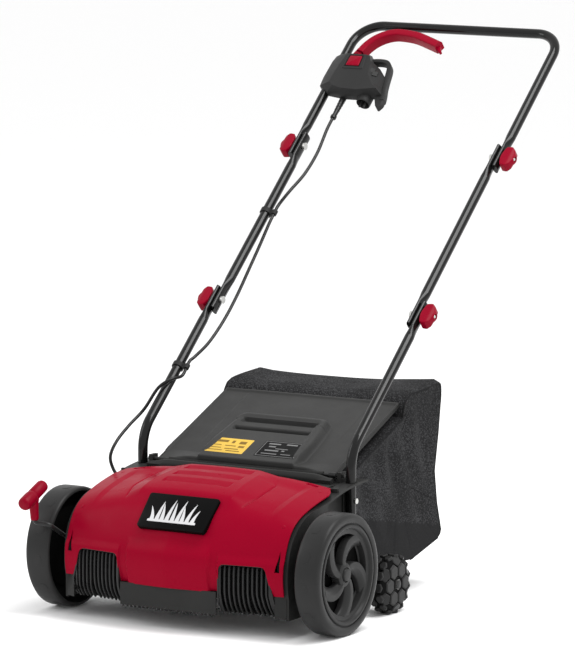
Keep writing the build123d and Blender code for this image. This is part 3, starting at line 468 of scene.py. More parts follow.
def inside(shape, x, z):
    hit = np.zeros(x.shape, bool)
    for (ax, az), (bx, bz) in zip(shape, shape[1:] + shape[:1]):
        cross = ((az > z) != (bz > z)) & (x < (bx - ax) * (z - az) / (bz - az + 1e-12) + ax)
        hit ^= cross
    return hit


def nearest(shape, x, z):
    """The point of a closed outline nearest to each (x, z), and how far it is."""
    best = np.full(x.shape, 1e9)
    px, pz = x.copy(), z.copy()
    for (ax, az), (bx, bz) in zip(shape, shape[1:] + shape[:1]):
        dx, dz = bx - ax, bz - az
        t = np.clip(((x - ax) * dx + (z - az) * dz) / (dx * dx + dz * dz), 0, 1)
        qx, qz = ax + t * dx, az + t * dz
        far = np.hypot(x - qx, z - qz)
        near = far < best
        best[near], px[near], pz[near] = far[near], qx[near], qz[near]
    return px, pz, best


def hood_relief(x, y, z):
    """How far the moulding stands off the plain hood surface, in mm."""
    w = np.abs(x)
    crest = np.interp(y, [-60, 60, 84], [93, 83, 71])
    foot = np.interp(y, [-57, -20, 45, 84], [118, 127, 125, 107])
    share = np.clip((w - crest) / (foot - crest), 0, 1)
    f = 5.5 * (1 - share) * step(y, -70, -42)
    sunk = 3.4 * share * (1 - np.clip((w - 173) / 12, 0, 1))
    f -= sunk * step(y, -74, -34) * (1 - step(y, 46, 80))
    crease = np.exp(-((w - foot - 1.2) / 1.5) ** 2)
    f -= 1.6 * crease * step(y, -60, -50) * (1 - step(y, 44, 56))
    for louvre in (58, 21, -15):
        ramp_up = np.clip((y - louvre + 2.0) / 20.0, 0, 1)
        within = (y > louvre - 4.5) & (y < louvre + 18)
        edge = step(y, louvre - 4.5, louvre - 2.5)
        f -= np.where(within, 4.2 * edge * (1 - ramp_up), 0) * (1 - step(w, 66, 69))
    f -= 2.5 * step(w, 166, 168) * (1 - step(w, 189, 191)) * step(y, 78, 79.5) * (1 - step(y, 84, 85.5))
    f += 5.0 * (1 - step(w, 80, 86)) * (1 - step(z, 132, 160)) * (y < FRONT_FACE_Y)
    f += 3.0 * step(w, 99, 101.5) * (1 - step(z, 128, 145)) * (y < FRONT_FACE_Y)
    return f


def hood_grid(nx, nv):
    """Points of the plain hood: sections between CROWN and SIDE, with the rear corners rounded in plan."""
    g = np.zeros((nx, nv, 3))
    for i, x in enumerate(np.linspace(-HOOD_HALF, HOOD_HALF, nx)):
        back, down = (abs(x) / HOOD_HALF) ** 1.3, (abs(x) / HOOD_HALF) ** 2.4
        line = []
        for k, ((a, c), (b, d)) in enumerate(zip(CROWN, SIDE)):
            share = back if k < 4 else down
            line.append(((1 - share) * a + share * b, (1 - down) * c + down * d))
        g[i, :, 0] = x
        g[i, :, 1:] = spline(line, nv)
    corner_x, corner_y = HOOD_HALF - HOOD_CORNER, g[-1, -1, 1] - HOOD_CORNER
    over_x, over_y = np.abs(g[:, :, 0]) - corner_x, g[:, :, 1] - corner_y
    reach = np.hypot(over_x, over_y)
    beyond = (over_x > 0) & (over_y > 0) & (reach > HOOD_CORNER)
    pull = HOOD_CORNER / np.maximum(reach, 1)
    g[:, :, 0] = np.where(beyond, np.sign(g[:, :, 0]) * (corner_x + over_x * pull), g[:, :, 0])
    g[:, :, 1] = np.where(beyond, corner_y + over_y * pull, g[:, :, 1])
    return g


def corners_of(cells):
    """The grid points that are a corner of a marked cell."""
    n, m = cells.shape
    marked = np.zeros((n + 1, m + 1), bool)
    for a in (0, 1):
        for b in (0, 1):
            marked[a:n + a, b:m + b] |= cells
    return marked


def hood():
    nx, nv = 441, 221
    g = hood_grid(nx, nv)
    n = np.cross(np.gradient(g, axis=0), np.gradient(g, axis=1))
    n /= np.maximum(np.linalg.norm(n, axis=2), 1e-9)[:, :, None]
    if n[nx // 2, nv // 2, 2] < 0:
        n = -n
    g = g + n * hood_relief(g[:, :, 0], g[:, :, 1], g[:, :, 2])[:, :, None]
    w, z = np.abs(g[:, :, 0]), g[:, :, 2]
    cw = (w[:-1, :-1] + w[1:, 1:]) / 2
    cz = (z[:-1, :-1] + z[1:, 1:]) / 2
    front = g[:-1, :-1, 1] < -50
    gone = np.zeros(cw.shape, bool)
    for shape in (WINDOW, SLIT):
        hole = inside(shape, cw, cz) & front
        gone |= hole
        px, pz, far = nearest(shape, w, z)
        move = corners_of(hole) & corners_of(~hole) & (far < 2.5)
        dx, dz = (px - w) * np.sign(g[:, :, 0]), pz - z
        dy = -(n[:, :, 0] * dx + n[:, :, 2] * dz) / n[:, :, 1]
        for axis, shift in enumerate((dx, dy, dz)):
            g[:, :, axis] = np.where(move, g[:, :, axis] + shift, g[:, :, axis])
    faces = [(a, a + nv, a + nv + 1, a + 1) for a in np.argwhere(~gone) @ (nv, 1)]
    o = make("hood_shell", ([D(*q) for q in g.reshape(-1, 3)], faces), "red_plastic", "deck", sharp=50,
             replaces="motor_hood")
    skin(o, 0.0028)
    return g


HOOD = hood()


def hood_caps():
    """The four screw heads, finished in the hood's colour and set flush with it."""
    caps = []
    for sx in (-1, 1):
        for px, py in ((204, 66), (206, -62)):
            far = np.hypot(HOOD[:, :, 0] - sx * px, HOOD[:, :, 1] - py)
            i, j = np.unravel_index(np.argmin(far), far.shape)
            p = HOOD[i, j]
            a = HOOD[i + 3, j] - HOOD[i - 3, j]
            n = np.cross(a, HOOD[i, j + 3] - HOOD[i, j - 3])
            n *= np.sign(n[2]) / np.linalg.norm(n)
            a /= np.linalg.norm(a)
            b = np.cross(n, a)
            caps.append(prism(ring(3.6, 24), [(-1.5, 0.0), (0.15, 0.0), (0.4, 0.5)],
                              lambda u, v, d: D(*(p + a * u + b * v + n * d))))
    make("hood_screw_caps", join(caps), "red_plastic", "deck", slot="zinc_steel", outward=True,
         replaces="hood_screws")


hood_caps()

# -------- grilles

GRILLE_X, GRILLE_Y, GRILLE_TURN = 152, -101, math.radians(8.0)
GRILLE_RIBS = 12
# A rib's line as (how far it stands off the grille's plane, z), and the frame's as (across, z).
GRILLE_DROP = [(-5.0, 127), (-1.5, 122), (0.0, 110), (0.5, 90), (0.0, 76), (-3.5, 61), (-10, 49), (-19, 39)]
GRILLE_FRAME = [(-51, 42), (-50.5, 76), (-50, 116), (-45, 124), (-38, 127), (30, 127), (37, 124), (41, 116),
                (47, 90), (52, 74), (56, 42)]


def grille(side, word):
    """Upright ribs that curve back under the hood, in a thin frame with rounded upper corners."""
    ux, uy = math.cos(GRILLE_TURN), side * math.sin(GRILLE_TURN)
    out = (uy, -ux, 0)

    def at(u, d, z):
        return D(side * GRILLE_X + ux * u + out[0] * d, GRILLE_Y + uy * u + out[1] * d, z)

    drop = smooth_line(GRILLE_DROP, 34)
    section = [(-1.7, -4), (1.7, -4), (1.7, 1.2), (1.0, 1.9), (-1.0, 1.9), (-1.7, 1.2)]
    parts = []
    for i in range(GRILLE_RIBS):
        u = side * (-47.5 + 96.0 * i / (GRILLE_RIBS - 1))
        top = 122.0 if i in (0, GRILLE_RIBS - 1) else 127.0
        spread = side * 0.16 * (1 if i > GRILLE_RIBS / 2 else 0.3)
        path = [at(u + spread * (77 - min(z, 77)), d, min(z, top)) for d, z in drop]
        parts.append(sweep(path, section, up=out))
    ribs = make(f"grille_ribs_{word}", join(parts), "grille_plastic", "deck", sharp=50)
    path = [at(side * u, 1.2 - 18.0 * max(0.0, (72 - z) / 32) ** 1.6, z)
            for u, z in smooth_line(GRILLE_FRAME, 80)]
    make(f"grille_frame_{word}", sweep(path, [(-1.4, -5), (1.4, -5), (1.4, 2), (-1.4, 2)], up=out),
         "grille_plastic", "deck")
    # painted shade: the sheet behind the ribs is black plastic finished near-black for the shade inside the
    # hood
    back = [at(side * u, d - 6.0, z) for d, z in drop for u in (-54, -20, 20, 54)]
    make(f"grille_back_{word}", (back, grid_faces(len(drop), 4, flip=side > 0)), "painted_shade_plastic", "deck",
         slot="black_plastic")
    return ribs


grille(-1, "left")
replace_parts(grille(1, "right"), "vent_grilles")

# -------- front wheels
# Turned profiles are (outwards from the wheel's middle, radius).

FRONT_WHEEL_X, FRONT_WHEEL_Z = 276, 108
RIM = [(-24, 100.5), (-24, 103.0), (-22.9, 105.4), (-20.5, 106.8), (-16, 107.5), (0, 107.6), (16, 107.5),
       (20.3, 106.6), (22.8, 104.0), (23.8, 99.5), (23.9, 93), (23.0, 91.3), (21.0, 90.6), (20.6, 89.4),
       (21.2, 88.3), (23.3, 87.6), (23.9, 86.2), (23.9, 83.5), (23.2, 82), (20.5, 80.6), (18.6, 79.5),
       (18.0, 77.5), (18.0, 73.5), (17.0, 71.8), (6.0, 70.5), (4.0, 68)]
RIM_INSIDE = [(-24, 100.5), (-23.4, 99.4), (-21, 98.8), (0.0, 96.0), (3.0, 92.0), (4.0, 68)]
HUB = [(-12, 6.2), (-12, 15), (3, 15), (3, 22), (12, 22), (16.5, 21), (18.5, 17.5), (19, 13.5), (17.0, 12.8),
       (16.8, 6.2)]
HUB_CAP = [(15.5, 11.8), (20.0, 11.4), (21.6, 10.4), (22.2, 8.0), (22.4, 5.0), (22.4, 0.05)]
DISH = [(1.5, 71.5), (-1.0, 60), (-3.0, 40), (-3.0, 16)]


def curved_spoke(side, turn):
    """One turbine spoke: a swept blade, wide at the ring, with a softly crowned face."""
    hub_r, ring_r, low, high, rows = 17, 73, 3.0, 18.0, 22
    points = []
    for i in range(rows):
        t = i / (rows - 1)
        r = hub_r + (ring_r - hub_r) * t
        centre = turn + side * (-0.62 * t - 0.18 * t * t)
        half = math.radians(25.0 - 17.0 * t + 7.0 * t * t)
        top = high - 1.6 * (1 - t) * t
        for k, lift in ((-1.0, low), (-1.0, top - 7.0), (-0.92, top - 5.0), (-0.10, top + 0.2),
                        (0.10, top + 0.6), (0.92, top - 0.4), (1.0, top - 1.6), (1.0, low)):
            a = centre + k * half
            points.append(D(side * (FRONT_WHEEL_X + lift), r * math.cos(a), r * math.sin(a) + FRONT_WHEEL_Z))
    return points, tube_faces(rows, 8, flip=side > 0)


def tread_pads(side, centre, count, start, columns, radius, levels, wide, long_):
    """Hexagonal pads standing on a wheel's tread, in columns of (share of the pitch, across)."""
    pads = []
    for i in range(count):
        for share, x in columns:
            a = start + 2 * math.pi * (i + share) / count
            points = []
            for level, grow in levels:
                for c, s_ in ring(grow, 6):
                    turn = a + long_ * s_ / radius
                    points.append(D(centre[0] + side * (x + wide * c), centre[1] + level * math.cos(turn),
                                    centre[2] + level * math.sin(turn)))
            pads.append((points, tube_faces(len(levels), 6, flip=side < 0)))
    return pads


def reversed_mesh(mesh):
    return mesh[0], [face[::-1] for face in mesh[1]]


def front_wheel(side, word):
    body = f"front_wheel_{word}"
    centre = (side * FRONT_WHEEL_X, 0, FRONT_WHEEL_Z)

    def part(name, mesh, mat="wheel_plastic", **more):
        make(f"front_wheel_{name}_{word}", mesh, mat, body, **more)

    part("rim", lathe_x(RIM, centre, side, 160), sharp=40, replaces=f"front_tyre_{word}")
    # painted shade: the rim's inner faces are the wheel's own plastic, finished near-black for the shade
    # inside the wheel
    part("inside", reversed_mesh(lathe_x(RIM_INSIDE, centre, side, 160)), "painted_shade_plastic")
    part("spokes", join([curved_spoke(side, math.pi / 2 + 0.1 + 2 * math.pi * i / 5) for i in range(5)]),
         sharp=42, replaces=f"front_rim_{word}")
    part("hub", lathe_x(HUB, centre, side, 72))
    part("cap", lathe_x(HUB_CAP, centre, side, 48), replaces=f"front_hub_cap_{word}")
    # painted shade: the dish behind the spokes is finished near-black for the shade inside the wheel
    behind = reversed_mesh(lathe_x([(out - 2.0, r) for out, r in DISH], centre, side))
    part("dish", join([lathe_x(DISH, centre, side), behind]), "painted_shade_plastic")
    lugs = tread_pads(side, centre, 12, 0.1, [(0, -4)], FRONT_WHEEL_Z,
                      [(107.0, 1.0), (107.9, 1.0), (107.98, 0.9)], 8.8, 11.0)
    part("lugs", join(lugs))


front_wheel(-1, "left")
front_wheel(1, "right")

# -------- rear wheels

REAR_X, REAR_Y, REAR_Z = 255, 225, 53
REAR_CORE = [(-17, 9), (-17, 40), (-15, 47), (-10, 49.5), (6, 49.5), (10.5, 46), (13.0, 38), (13.8, 20),
             (13.8, 9)]
REAR_CAP = [(13, 8.5), (17.2, 8), (18.0, 6), (18.2, 0.05)]
PAD_PITCH, PAD_REACH = 27.0, 49.5


def face_pad(side, centre, cy, cz):
    """One hexagonal pad on the wheel's outer face, trimmed to the wheel's edge and following its dome."""
    points = []
    for level, grow in ((-6.0, 0.90), (-1.2, 0.90), (0.0, 0.76)):
        for k in range(6):
            q = math.pi / 6 + math.pi / 3 * k
            y = cy + PAD_PITCH * 0.577 * grow * math.cos(q)
            z = cz + PAD_PITCH * 0.577 * grow * math.sin(q)
            r = min(math.hypot(y, z), PAD_REACH)
            trim = r / math.hypot(y, z)
            dome = 17.0 - 0.2 * (r / 20) - 7.5 * max(0.0, (r - 34) / 16) ** 2
            points.append(D(centre[0] + side * (dome + level), centre[1] + y * trim, centre[2] + z * trim))
    return points, tube_faces(3, 6, flip=side > 0)


def rear_wheel(side, word):
    """A small chunky wheel: hexagonal pads over its face and tread with grooves between."""
    body = f"rear_wheel_{word[0]}"
    centre = (side * REAR_X, REAR_Y, REAR_Z)
    # painted shade: the core that shows in the grooves between the pads is finished near-black for the shade
    # in the grooves
    make(f"rear_wheel_core_{word}", lathe_x(REAR_CORE, centre, side), "painted_shade_plastic", body,
         replaces=f"rear_wheel_{word}")
    pads = []
    for row in range(-3, 4):
        for col in range(-3, 4):
            cy = (col + 0.5 * (row % 2)) * PAD_PITCH
            cz = row * PAD_PITCH * 0.866
            if 5 <= math.hypot(cy, cz) <= 52:
                pads.append(face_pad(side, centre, cy, cz))
    pads += tread_pads(side, centre, 15, 0.0, [(0.0, -10.5), (0.5, 5.0)], REAR_Z,
                       [(48.0, 1.0), (52.0, 1.0), (53.0, 0.82)], 7.2, 9.2)
    make(f"rear_wheel_pads_{word}", join(pads), "wheel_plastic", body, bevel=1.0)
    make(f"rear_wheel_cap_{word}", lathe_x(REAR_CAP, centre, side, 40), "wheel_plastic", body)


rear_wheel(-1, "left")
rear_wheel(1, "right")

# -------- flap and labels

SLOPE = math.radians(22.3)
SF, CF = math.sin(SLOPE), math.cos(SLOPE)
FLAP_LENGTH, FLAP_HALF, FLAP_TAPER = 256, 183.5, 3.5
HINGE_Y, HINGE_Z = 153, 251


def F(x, t, h):
    """A point on the flap: across, up its slope, off its face."""
    return D(x, 149 + t * CF - h * SF, 250 + t * SF + h * CF)


def flap_height(x, t):
    """The flap's face above its flat sheet."""
    w = np.abs(x)
    side_in = 118 - 22 * np.clip(t / 160, 0, 1)
    hump = 14.0 * (1 - step(w, side_in - 11, side_in)) * step(t, 1, 7) * (1 - step(t, 158, 171))
    corner = np.hypot(np.maximum(w - 70, 0), np.maximum(t - 134, 0))
    hump *= 1 - step(corner, 27, 36)
    shoulder = 10.0 * (1 - step(w, 112, 178)) * step(t, 1, 7) * (1 - np.clip((t - 4) / 32, 0, 1))
    f = np.maximum(hump, shoulder)
    for t0, t1, x0, x1 in ((128, 144, -78, 79), (101, 114, -81, 79)):
        along = step(t, t0, t0 + 2.5) * (1 - step(t, t1 - 2.5, t1))
        f = f - 7.5 * along * step(x, x0, x0 + 3) * (1 - step(x, x1 - 3, x1))
    edge_in = np.where((w > 70) & (t > 134), corner, np.where(w > 70, w - side_in + 36, t - 134))
    ridge = np.exp(-((edge_in - 18.5) / 6.0) ** 2) * (step(t, 18, 34)) * ((w > 70) | (t > 130))
    f = f + 2.8 * ridge
    rim = 3.0 * (step(w, 176.5, 179.5) + step(t, 250, 253)) * step(t, 20, 40)
    crease = 1.5 * step(w, 128, 132) * step(t, 60, 90)
    return f + np.minimum(rim, 3.0) - crease * 0.4


def flap():
    nx, nt = 245, 173
    u, t = np.meshgrid(np.linspace(-1, 1, nx), np.linspace(2.5, FLAP_LENGTH, nt), indexing="ij")
    x = u * (FLAP_HALF - FLAP_TAPER * t / FLAP_LENGTH)
    h = flap_height(x, t) + 0.4
    verts = [F(*p) for p in zip(x.ravel(), t.ravel(), h.ravel())]
    skin(make("flap_shell", (verts, grid_faces(nx, nt)), "grey_plastic", "flap", sharp=60,
              replaces="discharge_flap"), 0.0026)
    parts = []
    rows = [D(x, HINGE_Y + y, HINGE_Z + z) for x, r in ((-160, 4.6), (-159, 5.5), (159, 5.5), (160, 4.6))
            for y, z in ring(r, 24)]
    parts.append((rows, tube_faces(4, 24, flip=True)))
    for s in (-1, 1):
        rows = [F(x - s * shift, t, h) for t, shift in ((2.5, 0.0), (FLAP_LENGTH, FLAP_TAPER))
                for x, h in ((181.2 * s, -6), (FLAP_HALF * s, -6), (FLAP_HALF * s, 1), (181.2 * s, 1))]
        parts.append((rows, tube_faces(2, 4, flip=s < 0)))
    make("flap_hinge_barrel", join(parts), "deck_plastic", "flap")


flap()


def label(name, corners, mat, replaces):
    """A thin plate on the flap with softened corners and edge."""
    make(name, prism(rounded(corners, 2.0, 4), [(14.2, 0.0), (14.5, 0.0), (14.7, 0.25)], F), mat, "flap",
         replaces=replaces)


def bars(name, rows, mat):
    """Plain printed bars on a label, as (x0, x1, t0, t1)."""
    make(name, join([box_part(*row, 14.75, 14.89, F) for row in rows]), mat, "flap")


label("label_yellow_plate", [(-93, 20.5), (-15, 20.5), (-14, 69), (-87, 69)], "label_yellow", "warning_label")
label("label_black_plate", [(9, 20.5), (93, 20.5), (86, 73), (9, 73)], "label_black", "rating_label")
bars("label_yellow_bars", [(-86, -62, 55, 62), (-54, -48, 53, 62), (-38, -24, 52, 61), (-88, -70, 44, 46),
                           (-62, -40, 43, 45.5), (-34, -22, 40, 46), (-90, -66, 35, 37), (-58, -30, 33, 35.5),
                           (-89, -60, 27, 29), (-52, -24, 26, 28.5)], "print_dark")
bars("label_black_bars", [(12, 89, 22.5, 23.6), (12, 84, 69.8, 70.9), (11.2, 12.4, 22.5, 70.9),
                          (20, 44, 61, 65), (56, 78, 62, 66), (24, 38, 52, 56), (40, 66, 47, 49),
                          (22, 50, 39, 43), (60, 80, 30, 32), (20, 52, 29, 31.5), (56, 62, 40, 44)],
     "print_pale")
make("label_black_edge", sweep([F(91 - 5.6 * k / 8, 22.5 + 48.4 * k / 8, 14.82) for k in range(9)],
                               [(-0.6, -0.07), (0.6, -0.07), (0.6, 0.07), (-0.6, 0.07)], up=(0, -SF, CF)),
     "print_pale", "flap")

# -------- badge

BADGE_TILT = math.radians(48.0)


def B(x, t, h):
    """A point on the badge: across, up its slope, off its face."""
    return D(x, -80.5 + t * math.cos(BADGE_TILT) - h * math.sin(BADGE_TILT),
             204.5 + t * math.sin(BADGE_TILT) + h * math.cos(BADGE_TILT))


badge_shape = rounded([(-66.5, -38), (71, -38), (78, 33), (-65, 33)], [7, 7, 7, 5], 8)
make("badge_body", prism(badge_shape, [(-5.0, 0.0), (2.2, 0.0), (3.2, 0.4), (3.6, 1.4)], B), "badge_black",
     "deck", replaces="badge_plate")
RAISED = [(3.4, 0.0), (4.3, 0.0), (4.5, 0.25)]


def grass_blade(x, lean_by, tall, wide):
    """One curved, pointed blade of grass standing slightly proud of the badge."""
    left, right = [], []
    for k in range(11):
        t = k / 10
        cx = x + lean_by * t ** 1.7
        half = wide / 2 * (1 - t) ** 0.75
        y = -21.5 + tall * t
        left.append((cx - half, y))
        right.append((cx + half, y))
    return prism(left + right[::-1][1:], RAISED, B)


blades = [grass_blade(x, lean, tall, 8.4) for x, lean, tall in
          ((-41, -9, 27), (-31, 4, 38), (-21, -5, 33), (-11, 6, 43), (0, -2, 37), (10, 7, 43), (20, -4, 31),
           (30, 9, 38), (41, 8, 26))]
ground = prism(rounded([(-49, -25.5), (49, -25.5), (49, -21.0), (-49, -21.0)], 1.5, 3), RAISED, B)
make("badge_grass", join(blades + [ground]), "badge_pale", "deck")

# -------- wing knobs

KNOB_BASE = 221.4
# The knob's outline level by level: (off the base, half length, half thickness, how square: 0 is square).
KNOB_LEVELS = [(0.0, 13, 10.0, 0.8), (1.2, 14, 10.6, 0.5), (3.6, 19.0, 10.6, 0.20), (5.0, 21.4, 10.4, 0.14),
               (12.0, 22.6, 10.0, 0.12), (15.5, 22.4, 9.6, 0.12), (21.0, 17.4, 8.0, 0.14),
               (22.0, 15.8, 7.2, 0.2), (22.6, 12.0, 7.0, 0.5), (25.2, 8.3, 6.6, 0.85), (25.8, 7.2, 6.0, 1.0),
               (25.6, 5.6, 5.0, 1.0), (22.6, 5.2, 4.8, 1.0)]


def wing_knob(side, s_at, name):
    """A stout two-winged knob with a raised hub and the bolt's end in its outer face."""
    rows = []
    for x, long_, thick, power in KNOB_LEVELS:
        for c, s_ in ring(1.0, 48):
            u = long_ * np.sign(c) * abs(c) ** power
            w = thick * np.sign(s_) * abs(s_) ** power
            rows.append(H(side * (KNOB_BASE + x), s_at + u, w))
    make(name, (rows, tube_faces(len(KNOB_LEVELS), 48, flip=side > 0)), "red_small", name, sharp=32,
         replaces=f"wing_{name}")
    end = [H(side * (KNOB_BASE + x), s_at + u, w)
           for x, r in ((18.0, 2.9), (24.2, 2.9), (24.9, 2.3), (25.0, 0.05)) for u, w in ring(r, 20)]
    make(f"{name}_bolt", (end, tube_faces(4, 20, flip=side > 0)), "zinc_steel", "mid_handle")


for level, s_at in (("lower", 325), ("upper", 715)):
    wing_knob(-1, s_at, f"knob_{level}_left")
    wing_knob(1, s_at, f"knob_{level}_right")

# -------- grass box

# The box's side outline as (y, z), from the foot of its mouth over the top and back along the bottom.
BAG = [(172, 152), (172, 238), (384, 326), (391, 349), (402, 362), (420, 368), (475, 371), (520, 374),
       (528, 370), (529, 350), (519, 282), (505, 210), (514, 150), (530, 96), (528, 88), (514, 79),
       (420, 56), (350, 60), (300, 66)]
BAG_HALF = 189.0
BAG_MIDDLE = np.array([380.0, 210.0])
BAG_SIDE_SCALE = 0.965


def band_pull(u, x, y, z):
    """How far the cloth between the two sides is pulled in at a point, in mm."""
    if y < 392 and z > 150:
        pull = 3.0
    else:
        pull = 7.0 * (1 - u * u) if (z > 340 and y > 400) else 5.0 * (1 - u * u)
        if z > 340 and 400 < y < 524:
            pull += 2.5 * math.sin(x / 24.0) * math.sin((y - 400) / 124 * math.pi)
        if y > 500 and 90 < z < 350:
            pull += 4.0 * math.sin(x / 31.0 + 0.6) * math.sin((z - 90) / 260 * math.pi)
        if z < 90:
            pull += 1.5 * math.sin(x / 26.0)
    if y > 500 and z > 330:
        pull += 4.0 * (1 - u) - 5.0 * max(0.0, u - 0.4)
    return pull


def side_sag(y, z, inwards):
    """How far a side panel hangs in at a point; inwards is 0 at its edge and 1 at its middle."""
    near = min(1.0, inwards * 3.0)
    hang = math.exp(-((z - 270) / 110) ** 2) * near
    drape = math.exp(-((y - 345 - 0.5 * (300 - z)) / 22.0) ** 2) * near
    sag = 9.0 * math.sin(min(1.0, inwards * 1.5) * math.pi / 2) * (0.4 + 0.6 * min(1, (z - 60) / 200))
    sag += 3.4 * hang * math.sin((y + 0.33 * (z - 200)) / 9.5)
    sag += 2.2 * hang * math.sin((y - 0.2 * z) / 17.0 + 1.0)
    sag += 6.0 * drape * (z > 150) * min(1.0, (z - 150) / 80)
    return max(0.0, sag)


def bag():
    """The fabric box: a sewn shell with pulled-in panels, sagging folds and a taut top."""
    outline = rounded(BAG, 7, 3)
    start = outline.index(min(outline, key=lambda q: math.hypot(q[0] - BAG[1][0], q[1] - BAG[1][1])))
    loop = smooth_line(outline[start:] + outline[:start], 190)
    nu, nv, side_rows = 75, len(loop), 26
    spread = math.pi / 2 * 0.96
    verts = []
    for u in np.sin(np.linspace(-spread, spread, nu)) / math.sin(spread):
        corner = 1.0 - 0.5 * max(0.0, abs(u) - 0.93)
        for q in loop:
            inward = BAG_MIDDLE - q
            inward /= np.linalg.norm(inward)
            q = BAG_MIDDLE - (BAG_MIDDLE - q) * corner + inward * band_pull(u, BAG_HALF * u, *q)
            verts.append(D(BAG_HALF * u, *q))
    faces = grid_faces(nu, nv)
    for side in (-1, 1):
        rows = [[(0 if side < 0 else nu - 1) * nv + j for j in range(nv)]]
        for r in range(1, side_rows + 1):
            inwards = r / side_rows
            shrink = BAG_SIDE_SCALE * ((1 - inwards) * 0.999 + 0.001)
            rows.append(list(range(len(verts), len(verts) + nv)))
            for q in BAG_MIDDLE + (loop - BAG_MIDDLE) * shrink:
                verts.append(D(side * (BAG_HALF - (0.6 if r == 1 else side_sag(*q, inwards))), *q))
        for outer, inner in zip(rows, rows[1:]):
            for j in range(nv):
                k = (j + 1) % nv
                face = (outer[j], inner[j], inner[k], outer[k])
                faces.append(face if side > 0 else face[::-1])
    o = make("bag_cloth", (verts, faces), "bag_fabric", "catcher", sharp=75, replaces="catcher_bag")
    o.data.materials.append(M["bag_band"])
    for poly in o.data.polygons:
        y, z = (poly.center.y - Y0) * 1000, poly.center.z * 1000
        if z < 148 - 0.177 * (y - 301):
            poly.material_index = 1
    skin(o, 0.0011, offset=0.0)
    return o, sum(poly.area for poly in o.data.polygons)


bag_cloth, bag_area = bag()

seams = []
for side in (-1, 1):
    edge = [(side * BAG_HALF, *(BAG_MIDDLE + (np.array(q) - BAG_MIDDLE) * 0.966))
            for q in rounded(BAG, 7, 3)[7:] + BAG[:1]]
    seams.append(sweep([D(*q) for q in smooth_line(edge, 220)], ring(1.3, 8)))
make("bag_piping", join(seams), "bag_band", "catcher", sharp=60)

rows = []
for x in np.linspace(-190, 190, 39):
    top = 255.0 - 6.0 * float(step(abs(x), 150, 190))
    rows += [D(x, y, z) for y, z in ((126, 238), (124, 246), (129, top - 1.5), (131.5, top), (134.5, top),
                                     (136, top - 2), (136, 238))]
make("rear_cowl_strip", (rows, tube_faces(39, 7)), "deck_plastic", "deck", sharp=50, slot="black_plastic")

# -------- switch box
# The box clamps the left tube; its face looks along the handle's upper side.

BOX_OUTER = [(-220, 945), (-150, 945), (-141, 929), (-119, 913), (-101, 894), (-94, 863), (-89, 848),
             (-136, 840), (-170, 840), (-205, 846), (-228, 862), (-230, 884), (-229, 926), (-226, 940)]
BOX_FACE = [(-191, 934), (-144, 932), (-136, 918), (-131.5, 902), (-127, 884), (-110, 861), (-96, 850),
            (-136, 843), (-170, 845), (-190, 851), (-200, 859), (-199, 884), (-196, 908), (-194, 925)]
BOX_BACK = [(-212, 936), (-155, 936), (-147, 922), (-131, 908), (-118, 890), (-112, 874), (-110, 866),
            (-138, 864), (-168, 864), (-196, 866), (-214, 876), (-218, 890), (-218, 912), (-216, 926)]


def shell_between(outlines):
    """A closed body through several outlines with the same number of points: (outline, level)."""
    verts = [H(x, s, level) for outline, level in outlines for x, s in outline]
    return verts, tube_faces(len(outlines), len(outlines[0][0]))


def mixed(a, b, t):
    return [(p[0] + (q[0] - p[0]) * t, p[1] + (q[1] - p[1]) * t) for p, q in zip(a, b)]


def box_piece(name, mesh, mat="box_plastic", sharp=35, **more):
    make(name, mesh, mat, "upper_handle_assembly", sharp=sharp, outward=True, **more)


cover = shell_between([(BOX_OUTER, 0.4), (BOX_OUTER, 9.0), (mixed(BOX_OUTER, BOX_FACE, 0.12), 12.0),
                       (mixed(BOX_OUTER, BOX_FACE, 0.90), 25.0), (BOX_FACE, 26.0)])
box_piece("switch_cover", cover, sharp=24, bevel=2.6, segments=3, replaces="switch_box_cover")
frame_edge = rounded([(-188, 932.5), (-150, 932.5), (-144, 895.5), (-188.5, 895.5)], 3.0, 3)
box_piece("switch_button_frame", prism(frame_edge, [(24.5, -1.5), (27.0, 0.0), (27.4, 0.6)], H), sharp=30)
# painted shade: the well around the button is grey plastic, finished near-black for the shade in the recess
box_piece("switch_button_well", prism([(-184.4, 928.8), (-154.8, 928.8), (-152.8, 900.2), (-184.9, 900.2)],
                                      [(24.0, 0.0), (27.6, 0.0)], H), "painted_shade_plastic", slot="grey_plastic")


def facet_tab(x, s):
    """A small square tab on the cover's slanting side facet."""
    def on_facet(u, v, w):
        return H(x + u * 0.82 + w * 0.57, s + v + u * 0.25, 21.0 - u * 0.57 + w * 0.82)
    square = [(-5, -5.5), (5, -5.5), (5, 5.5), (-5, 5.5)]
    return prism(square, [(-2.0, 0), (1.2, 0), (1.8, 0.6)], on_facet)


box_piece("switch_cover_tabs", join([facet_tab(*at) for at in ((-136.5, 909), (-125, 897), (-116, 889))]),
          "deck_plastic")
box_piece("switch_base", shell_between([(BOX_BACK, -21.5), (mixed(BOX_OUTER, BOX_BACK, 0.85), -20.0),
                                        (mixed(BOX_OUTER, BOX_BACK, 0.10), -3.0), (BOX_OUTER, -0.4)]),
          "deck_plastic", sharp=24, bevel=2.6, segments=3, replaces="switch_box_base")
button_edge = rounded([(-182.5, 927.0), (-156.5, 927.0), (-154.5, 902.0), (-183.0, 902.0)], 2.5, 4)
make("lock_button", prism(button_edge, [(20.2, 0), (27.6, 0), (28.6, 0.8), (29.0, 2.2)], H), "red_small",
     "button", sharp=40, outward=True, replaces="safety_button")

# -------- hook and plug inlet

